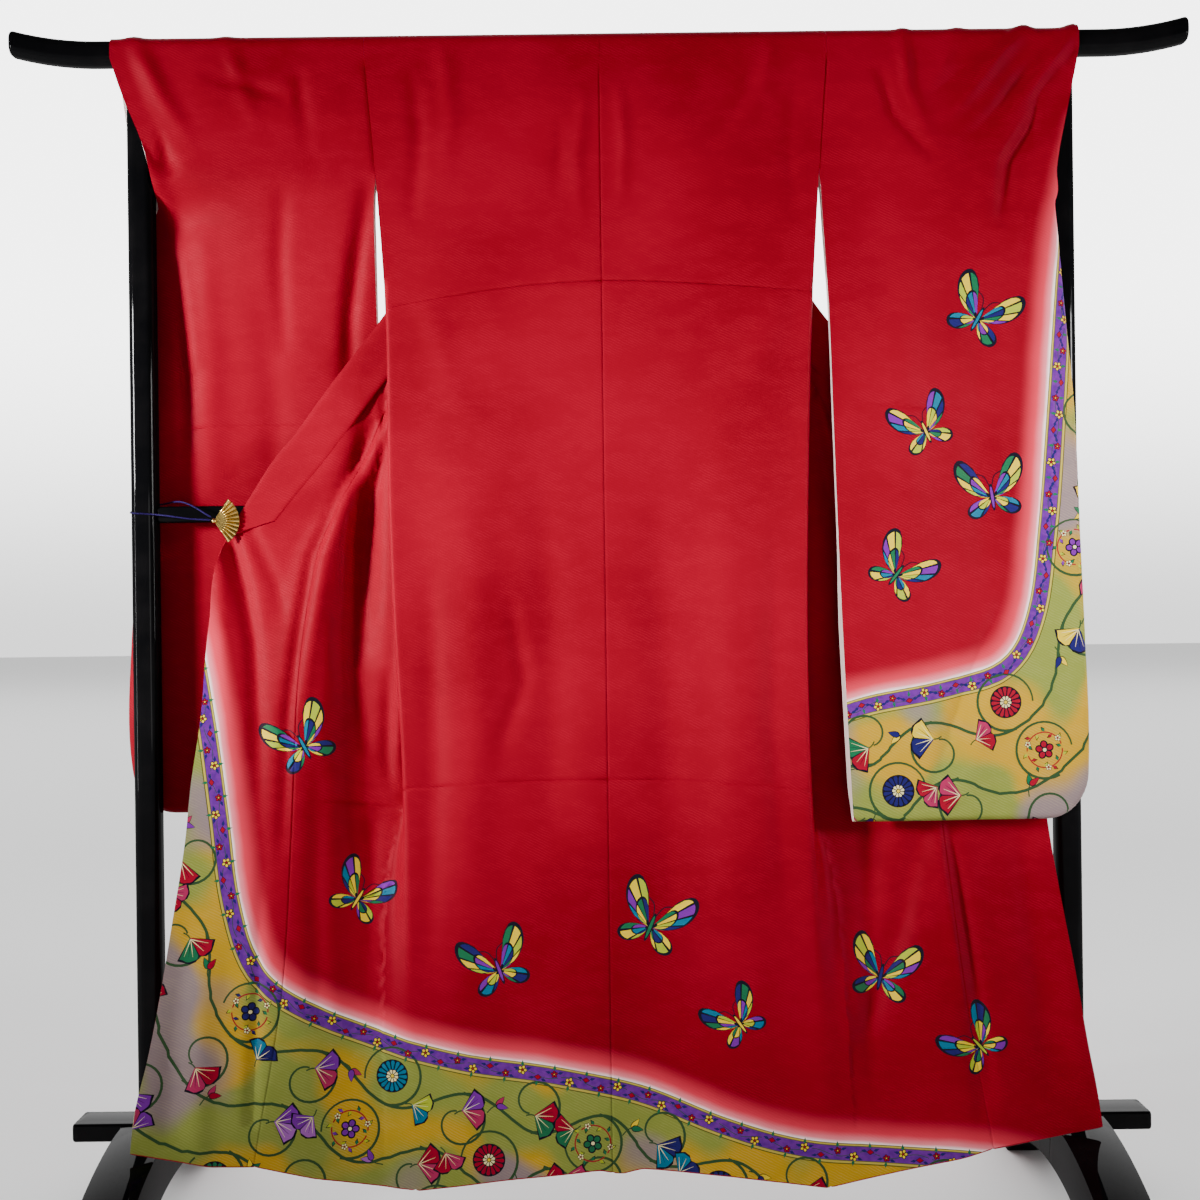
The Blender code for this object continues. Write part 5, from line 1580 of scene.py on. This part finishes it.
# one layer's rows, close together round the bottom corner; the near layer goes on over the bar
def sleeveNet(side, layer):
    bottom, corner = sleeve["bottom"][side], sleeve["corner"][side]
    heights = np.concatenate([bottom + corner * (1.0 - np.cos(quarterAngles(13))),
                              spread(bottom + corner, cloth["topRow"], cloth["cell"])[1:]])
    rows = []
    for n, z in enumerate(heights):
        inner, outer = float(sleeveInner(z, side, layer)), float(sleeveOuter(z, side, layer))
        u = staggered(spread(inner, outer - 0.010, cloth["cell"]), n)
        seam = outer - np.array([0.0075, 0.005, 0.0028, 0.0012, 0.0])
        rows.append(chartRow(np.concatenate([u, seam]), z))
    tops = spread(float(sleeveInner(cloth["topRow"], side, layer)),
                  float(sleeveOuter(cloth["topRow"], side, layer)), cloth["cell"])
    rows[-1] = chartRow(tops, cloth["topRow"])
    if layer == "near":
        over = spread(cloth["topRow"], cloth["topRow"] + wrapLength, cloth["wrapCell"])
        rows += [chartRow(tops, t) for t in over[1:]]

    def surface(u, t):
        return sleevePoint(u, t, side, layer, creases[side + " sleeve " + layer])

    part = "sleeve" if side == "right" else None
    shapes = prints["sleeve"] if part else []
    if layer == "near":
        shapes = prints[side + " sleeve"] + shapes
    return panelNet(rows, surface, side, shapes, part, layer == "far")


# the lining rolled out below the hem: a thin tube along a panel's foot
def hemRoll(name, path):
    path = evenly(path + (0.0, 0.0006, -0.0005), 0.004)
    size = np.full((len(path), 8), 0.0013)
    size[[0, -1]] = 0.0006
    piece = ringPiece(name, tubeRings(path, size), "edge", 60.0)
    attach(piece, "root")
    return piece


# back and front in one cloth, with the lining's rolls along both feet
def addBody(side):
    backParts, backFoot = backNet(side)
    front, frontFoot = frontNet(side)
    net = joinNets(backParts + [front])
    piece = clothPiece("furisode_body_" + side, net, ["silk", "lining", "edge"])
    settle(piece, "silk", "body_" + side)
    rolls = [hemRoll("hem_back_" + side, backPoint(*backFoot[::2].T, side, creases["back"])),
             hemRoll("hem_front_" + side, frontPoint(*frontFoot[::2].T, side, creases[side + " front"]))]


# the overlap panel, a trapezium of 0.78 of its length times its width
def addOkumi(side):
    net, foot = okumiNet(side)
    piece = clothPiece("furisode_okumi_" + side, net, ["silk", "lining", "edge"])
    settle(piece, "silk", "okumi_" + side)
    roll = hemRoll("hem_okumi_" + side, okumiPoint(*foot[::2].T, side, creases[side + " front"]))


# both layers of a sleeve in one cloth
def addSleeve(side):
    net = joinNets([sleeveNet(side, "near"), sleeveNet(side, "far")])
    piece = clothPiece("furisode_sleeve_" + side, net, ["silk", "sleeveLining", "sleeveLining"])
    settle(piece, "silk", "sleeve_" + side)


for side in outward:
    addBody(side)
    addOkumi(side)
    addSleeve(side)
print("panels laid out")


# the collar's rows on one side, from its end by the clip up to the bar, four points across each
def collarSide(side):
    lows = np.concatenate([spread(cloth["collarEnd"], cloth["okumiTop"], 0.052),
                           [cloth["sideSeamTop"]],
                           spread(cloth["sideSeamTop"], cloth["sleeveJoin"], 0.0433)[1:],
                           spread(cloth["sleeveJoin"], cloth["topRow"], 0.0355)[1:]])
    seam = readRows(collarRows, side, lows) + cloth["seamGap"]
    lean = np.arctan(-np.gradient(readRows(collarRows, side, lows), lows))
    lean[0] = cloth["endLean"]
    reach = np.full(len(lows), cloth["collarWidth"])
    reach[0] = cloth["endWidth"][side]
    roll = np.radians(60.0 + 120.0 * eased(cloth["topRow"] + 0.02, 1.470, lows))
    parted = 0.0026 * (1.0 - eased(math.radians(150.0), math.pi, roll))
    inner = frontStretches(lows, side)["inner"]
    start = panelDepth(seam, lows, inner, side)
    flat = eased(math.radians(120.0), math.pi, roll)
    columns = []
    for f in (-0.065, 0.02, 0.35, 0.7, 1.0):
        away = parted + f * reach * np.where(f > 0.0, 1.0, flat)
        out = seam - away * np.cos(lean) * np.cos(roll)
        high = lows - away * np.sin(lean) * np.cos(roll)
        high[0] += 0.0009
        laid = panelDepth(out, high, inner, side)
        deep = start + (laid - start) * flat + away * np.sin(roll) + 0.0025 * flat * (f < 0.0)
        columns.append(np.stack([out * outward[side], deep, high], axis=1))
    return np.stack(columns, axis=1)


# round the neck: each row swings from one side's top row to the other's, hanging back from the bar
def collarNeck(left, right):
    rows = []
    share = np.array([-0.01, 0.02, 0.35, 0.7, 1.0])[:, None]
    for f in np.arange(1, 8) / 8:
        x = left[0, 0] + (right[0, 0] - left[0, 0]) * f
        high = left[0, 2] + cloth["neckRise"] * math.sin(math.pi * f) ** 0.25
        seam = np.array([x, cloth["neckDepth"], high])
        swing = (left[-1] - left[0]) if f < 0.5 else (right[-1] - right[0])
        mix = abs(2.0 * f - 1.0) ** 1.5
        way = swing * mix + np.array([0.0, 0.030, -0.046]) * (1.0 - mix)
        rows.append(seam + way / np.linalg.norm(way) * cloth["collarWidth"] * share)
    return np.array(rows)


# a folded band: a smooth strip with a wall that rounds off at both edges
def addCollar():
    left, right = collarSide("left"), collarSide("right")
    rows = np.concatenate([left, collarNeck(left[-1], right[-1]), right[::-1]])
    fine = smoothPath(smoothPath(rows, 6).transpose(1, 0, 2), 5).transpose(1, 0, 2)
    normal = np.cross(np.gradient(fine, axis=0), np.gradient(fine, axis=1))
    normal /= np.linalg.norm(normal, axis=2)[..., None]
    f = np.linspace(-1.0, 1.0, fine.shape[1])
    half = normal * (cloth["collarWall"] / 2 * np.maximum(np.sqrt(1.0 - f ** 8), 0.25))[:, None]
    rings = np.concatenate([fine + half, (fine - half)[:, ::-1]], axis=1)
    piece = ringPiece("furisode_collar", rings, "silk", 60.0)
    count = len(piece.data.vertices)
    paint(piece, "border", np.full(count, farAway))
    paint(piece, "dye", np.zeros((count, 4)), "FLOAT_COLOR")
    settle(piece, "collar_silk", "collar")


addCollar()
print("collar made")


# a folded fan: flutes between ribs beyond the inner plate, a stepped outer edge
def addFan(side):
    pin, high = clip["pinOut"][side], clip["height"]
    hub = clip["pinRadius"] + stand["gap"]
    r = np.concatenate([np.linspace(0.0, 0.40, 6), np.linspace(0.44, 1.0, 12)])[:, None]
    k = np.linspace(0.0, clip["ribs"], clip["ribs"] * 10 + 1)[None, :]
    angle = np.radians(-clip["halfAngle"] + 2 * clip["halfAngle"] * k / clip["ribs"])
    part = k % 1.0
    part = np.where(k == clip["ribs"], 1.0, part)
    flute = np.clip(1.0 - np.abs(2.0 * part - 1.0) ** 1.6, 0.0, 1.0)
    beyond = eased(0.40, 0.48, r)
    step = 0.0012 * eased(0.0, 0.12, part) * eased(1.0, 0.88, part)
    radius = hub + (clip["reach"] - hub) * r + step * r ** 3
    lift = clip["flute"] * (flute * 1.6 - 0.6) * beyond
    ring = 0.0005 * bell(r, 0.38, 0.05) + 0.0004 * bell(r, 0.12, 0.05)
    x = (pin - radius * np.cos(angle)) * outward[side]
    z = high + radius * np.sin(angle)
    middle = clip["fanDepth"][side]
    near = pointsAt(x, middle - clip["fanWall"] / 2 - lift - ring, z)
    far = pointsAt(x, middle + clip["fanWall"] / 2 - lift * 0.6, z)
    piece = settle(platePiece("clip_fan_gilt_" + side, near, far, "gilt", 35.0), "gilt", "clip_fan_" + side)
    # painted shade: dark in the flutes' hollows and along the ring at the inner plate's edge, for the
    # finish to darken
    dark = np.clip(1.0 - flute * 2.4, 0.0, 1.0) * eased(0.40, 0.50, r) + 0.6 * bell(r, 0.41, 0.04)
    paint(piece, "grooveShade", np.tile(dark.ravel(), 2))


# the plain jaw behind the cloth: a small fan plate with a turned-in edge
def addJaw(side):
    pin, high = clip["pinOut"][side], clip["height"]
    hub = clip["pinRadius"] + stand["gap"]
    r = np.linspace(0.0, 1.0, 12)[:, None]
    angle = np.radians(np.linspace(-34.0, 34.0, 25))[None, :]
    radius = hub + (clip["reach"] * 0.8 - hub) * r
    x = (pin - radius * np.cos(angle)) * outward[side]
    z = high + radius * np.sin(angle)
    rim = np.maximum(eased(0.9, 1.0, r), eased(0.9, 1.0, np.abs(angle) / 0.593))
    wall = clip["jawWall"] / 2 * (1.0 - 0.5 * rim)
    near = pointsAt(x, clip["jawDepth"] - wall, z)
    far = pointsAt(x, clip["jawDepth"] + wall, z)
    settle(platePiece("clip_jaw_gilt_" + side, near, far, "gilt", 35.0), "gilt", "clip_jaw_" + side)


# the pin: a turned rod with a domed head, its radius a function of its length
def addPin(side):
    x = clip["pinOut"][side] * outward[side]
    turn = quarterAngles(8)
    radius = clip["pinRadius"] * np.maximum(np.sin(turn), 0.02)
    dome = np.stack([-0.0320 - 0.0026 * np.cos(turn), radius], axis=1)
    profile = np.concatenate([dome, clip["pinShaft"]])
    angle = roundAngles(28)
    rings = [pointsAt(x + r * np.cos(angle), y, clip["height"] + r * np.sin(angle))
             for y, r in profile]
    settle(ringPiece("clip_pin_gilt_" + side, rings, "gilt", 50.0), "gilt", "clip_pin_" + side)


for side in outward:
    addFan(side)
    addJaw(side)
    addPin(side)
print("clips made")


# a lacquered piece of the stand through its rings
def standPiece(node, rings, sharp=40.0):
    settle(ringPiece("stand_" + node, rings, "lacquer", sharp), "lacquer", node)


# a rectangle with round corners; its second half runs back beside the first
def roundedSection(halfWidth, halfHeight, corner, cells=8):
    turn = quarterAngles(cells + 1)
    quarters = []
    for k, (sx, sy) in enumerate(((1, 1), (-1, 1), (-1, -1), (1, -1))):
        a = turn + k * math.pi / 2
        quarters.append(np.stack([(halfWidth - corner) * sx + corner * np.cos(a),
                                  (halfHeight - corner) * sy + corner * np.sin(a)], axis=1))
    return np.concatenate(quarters)


# a beam along x or z: its section drawn in a little at both ends
def beamRings(section, start, end, axis, offset, easing=0.0015):
    rings = []
    half = np.abs(section).max(axis=0)
    for along, inset in ((start, easing), (start + easing * 0.3, easing * 0.35), (start + easing, 0.0),
                         (start + easing * 3, 0.0), (end - easing * 3, 0.0), (end - easing, 0.0),
                         (end - easing * 0.3, easing * 0.35), (end, easing)):
        s = section * (1.0 - inset / half)
        a, b = offset[0] + s[:, 0], offset[1] + s[:, 1]
        rings.append(pointsAt(a, b, along) if axis == "z" else pointsAt(along, a, b))
    return rings


# the top bar: straight between the posts, its ends swept up as a parabola and rounded off
def addTopBar():
    section = roundedSection(stand["barHalfDepth"], stand["barHeight"] / 2, stand["barCorner"], 10)
    end, straight = stand["barHalfLength"], stand["barStraight"]
    turn = quarterAngles(7)
    out = np.concatenate([[0.0], spread(straight, end - 0.006, 0.008),
                          end - 0.006 + 0.006 * np.sin(turn[1:])])
    scale = np.concatenate([np.ones(len(out) - 6), 0.72 + 0.28 * np.cos(turn[1:])])
    x = np.concatenate([-out[:0:-1], out])
    scale = np.concatenate([scale[:0:-1], scale])
    rise = stand["barRise"] * (np.maximum(np.abs(x) - straight, 0.0) / (end - straight)) ** 2
    middle = stand["barTop"] - stand["barHeight"] / 2 + rise
    rings = [pointsAt(a, section[:, 0] * s, m + section[:, 1] * s)
             for a, s, m in zip(x, scale, middle)]
    standPiece("top_bar", rings)


# a foot: crest and arch as curves in depth, notched for the board, its edges eased
def addFoot(side):
    half = stand["footHalfDepth"]
    notch = stand["boardDepth"] / 2 + stand["gap"]
    notchFloor = stand["boardTop"] - stand["boardHeight"] - stand["gap"]
    y = np.concatenate([np.linspace(0.0, notch, 4), [notch + 0.0001],
                        spread(notch + 0.004, half - 0.012, 0.009)])
    crest = stand["footCrest"] - stand["footCurve"] * y ** 2
    crest[:4] = notchFloor
    toe = np.array([(half - 0.006, stand["toeHeight"] + 0.018), (half - 0.002, stand["toeHeight"] + 0.008),
                    (half, stand["toeHeight"] - 0.004), (half, 0.012)])
    top = np.concatenate([np.stack([y, crest], axis=1), toe])
    inArch = np.minimum(np.linspace(0.0, half, len(top)), half - 0.001)
    arch = stand["archTop"] * np.maximum(1.0 - (inArch / stand["archHalf"]) ** 2, 0.0) ** 0.8
    under = np.stack([inArch, arch], axis=1)
    upper = np.concatenate([top[::-1] * (-1, 1), top[1:]])
    lower = np.concatenate([under[::-1] * (-1, 1), under[1:]])
    outline = np.concatenate([upper, lower[::-1]])
    ahead = np.roll(outline, -1, axis=0) - np.roll(outline, 1, axis=0)
    ahead /= np.maximum(np.linalg.norm(ahead, axis=1), 1e-9)[:, None]
    inwards = np.stack([ahead[:, 1], -ahead[:, 0]], axis=1)
    x = stand["postOut"] * outward[side]
    wide = stand["footWidth"] / 2
    rings = []
    for along, inset in ((-wide, 0.0022), (-wide + 0.0005, 0.0010), (-wide + 0.0022, 0.0),
                         (wide - 0.0022, 0.0), (wide - 0.0005, 0.0010), (wide, 0.0022)):
        ring = outline + inwards * inset
        ring[:, 1] = np.maximum(ring[:, 1], 0.0)
        rings.append(pointsAt(x + along, ring[:, 0], ring[:, 1]))
    standPiece("foot_" + side, rings, 35.0)


# bar, posts, feet, mid bar and board, a gap apart where they meet
def addStand():
    addTopBar()
    post = roundedSection(stand["postSide"] / 2, stand["postSide"] / 2, stand["postCorner"])
    low = stand["boardTop"] + stand["gap"]
    high = stand["barTop"] - stand["barHeight"] - stand["gap"]
    for side in outward:
        rings = beamRings(post, low, high, "z", (stand["postOut"] * outward[side], 0.0))
        standPiece("post_" + side, rings)
        addFoot(side)
    rail = roundedSection(stand["railSide"] / 2, stand["railSide"] / 2, 0.006)
    reach = stand["postOut"] - stand["postSide"] / 2 - stand["gap"]
    rings = beamRings(rail, -reach, reach, "x", (0.0, stand["railHeight"]))
    standPiece("mid_bar", rings)
    board = roundedSection(stand["boardDepth"] / 2, stand["boardHeight"] / 2, 0.0035, 5)
    rings = beamRings(board, -stand["boardHalfLength"], stand["boardHalfLength"], "x",
                      (0.0, stand["boardTop"] - stand["boardHeight"] / 2), 0.0030)
    standPiece("base_board", rings)


addStand()
print("stand made")


studio = {
    "floor": (0.92, 0.92, 0.92),
    "sky": 5.0,         # behind the object, above the horizon
    "horizon": 1.60,
    "room": 0.12,       # behind the camera
    "boxes": (          # place, aim, width, height, power, spread in degrees
        ((-2.9, -1.5, 1.42), (-0.18, 0.0, 1.00), 0.4, 0.5, 11.8, 36.0),
        ((2.6, -1.7, 1.36), (0.50, 0.0, 1.00), 0.4, 0.5, 3.6, 30.0),
        ((0.3, -3.4, 0.80), (0.10, 0.0, 0.70), 1.0, 0.8, 1.1, 44.0),
        ((-3.3, -1.3, 1.02), (0.0, 0.0, 0.92), 0.11, 1.4, 20.0, 110.0),
        ((3.3, -1.3, 1.02), (0.0, 0.0, 0.92), 0.11, 1.4, 12.0, 110.0),
        ((0.0, -1.4, 3.6), (0.0, 0.0, 0.9), 2.4, 1.2, 0.2, 180.0),
        ((0.2, 3.2, 2.0), (0.0, 0.0, 0.8), 2.6, 1.4, 9.0, 180.0),
        ((0.0, 9.0, 6.0), (0.0, 9.01, 0.0), 24.0, 14.0, 900.0, 180.0),
    ),
}


# a pale floor, a sky that is bright behind the object alone, and soft boxes
def addStudio():
    floor = bpy.data.materials.new("paleFloor")
    floor.use_nodes = True
    shader = floor.node_tree.nodes["Principled BSDF"]
    shader.inputs["Base Color"].default_value = (*studio["floor"], 1.0)
    shader.inputs["Roughness"].default_value = 0.85
    shader.inputs["Specular IOR Level"].default_value = 0.1
    mesh = bpy.data.meshes.new("floor")
    mesh.from_pydata([(-30, -30, 0), (30, -30, 0), (30, 30, 0), (-30, 30, 0)], [], [(0, 1, 2, 3)])
    mesh.materials.append(floor)
    plane = bpy.data.objects.new("floor", mesh)
    bpy.context.scene.collection.objects.link(plane)
    world = bpy.data.worlds.new("studio")
    world.use_nodes = True
    bpy.context.scene.world = world
    start = Line(world.node_tree)
    way = start.node("ShaderNodeTexCoord", out="Generated")
    back = start.node("ShaderNodeSeparateXYZ", {}, {0: way}, "Y").step(0.35, 0.90)
    high = start.node("ShaderNodeSeparateXYZ", {}, {0: way}, "Z").step(-0.02, 0.16)
    bright = studio["horizon"] + high * (studio["sky"] - studio["horizon"])
    strength = studio["room"] + back * (bright - studio["room"])
    world.node_tree.links.new(strength.socket, world.node_tree.nodes["Background"].inputs["Strength"])
    world.node_tree.nodes["Background"].inputs["Color"].default_value = (1.0, 1.0, 1.0, 1.0)
    for n, (place, aim, width, height, power, spreading) in enumerate(studio["boxes"]):
        data = bpy.data.lights.new("softBox%d" % n, "AREA")
        data.shape = "RECTANGLE"
        data.size, data.size_y, data.energy = width, height, power
        data.spread = math.radians(spreading)
        light = bpy.data.objects.new("softBox%d" % n, data)
        light.location = place
        light.rotation_euler = (Vector(aim) - Vector(place)).to_track_quat("-Z", "Y").to_euler()
        bpy.context.scene.collection.objects.link(light)


addStudio()
print("studio lit")
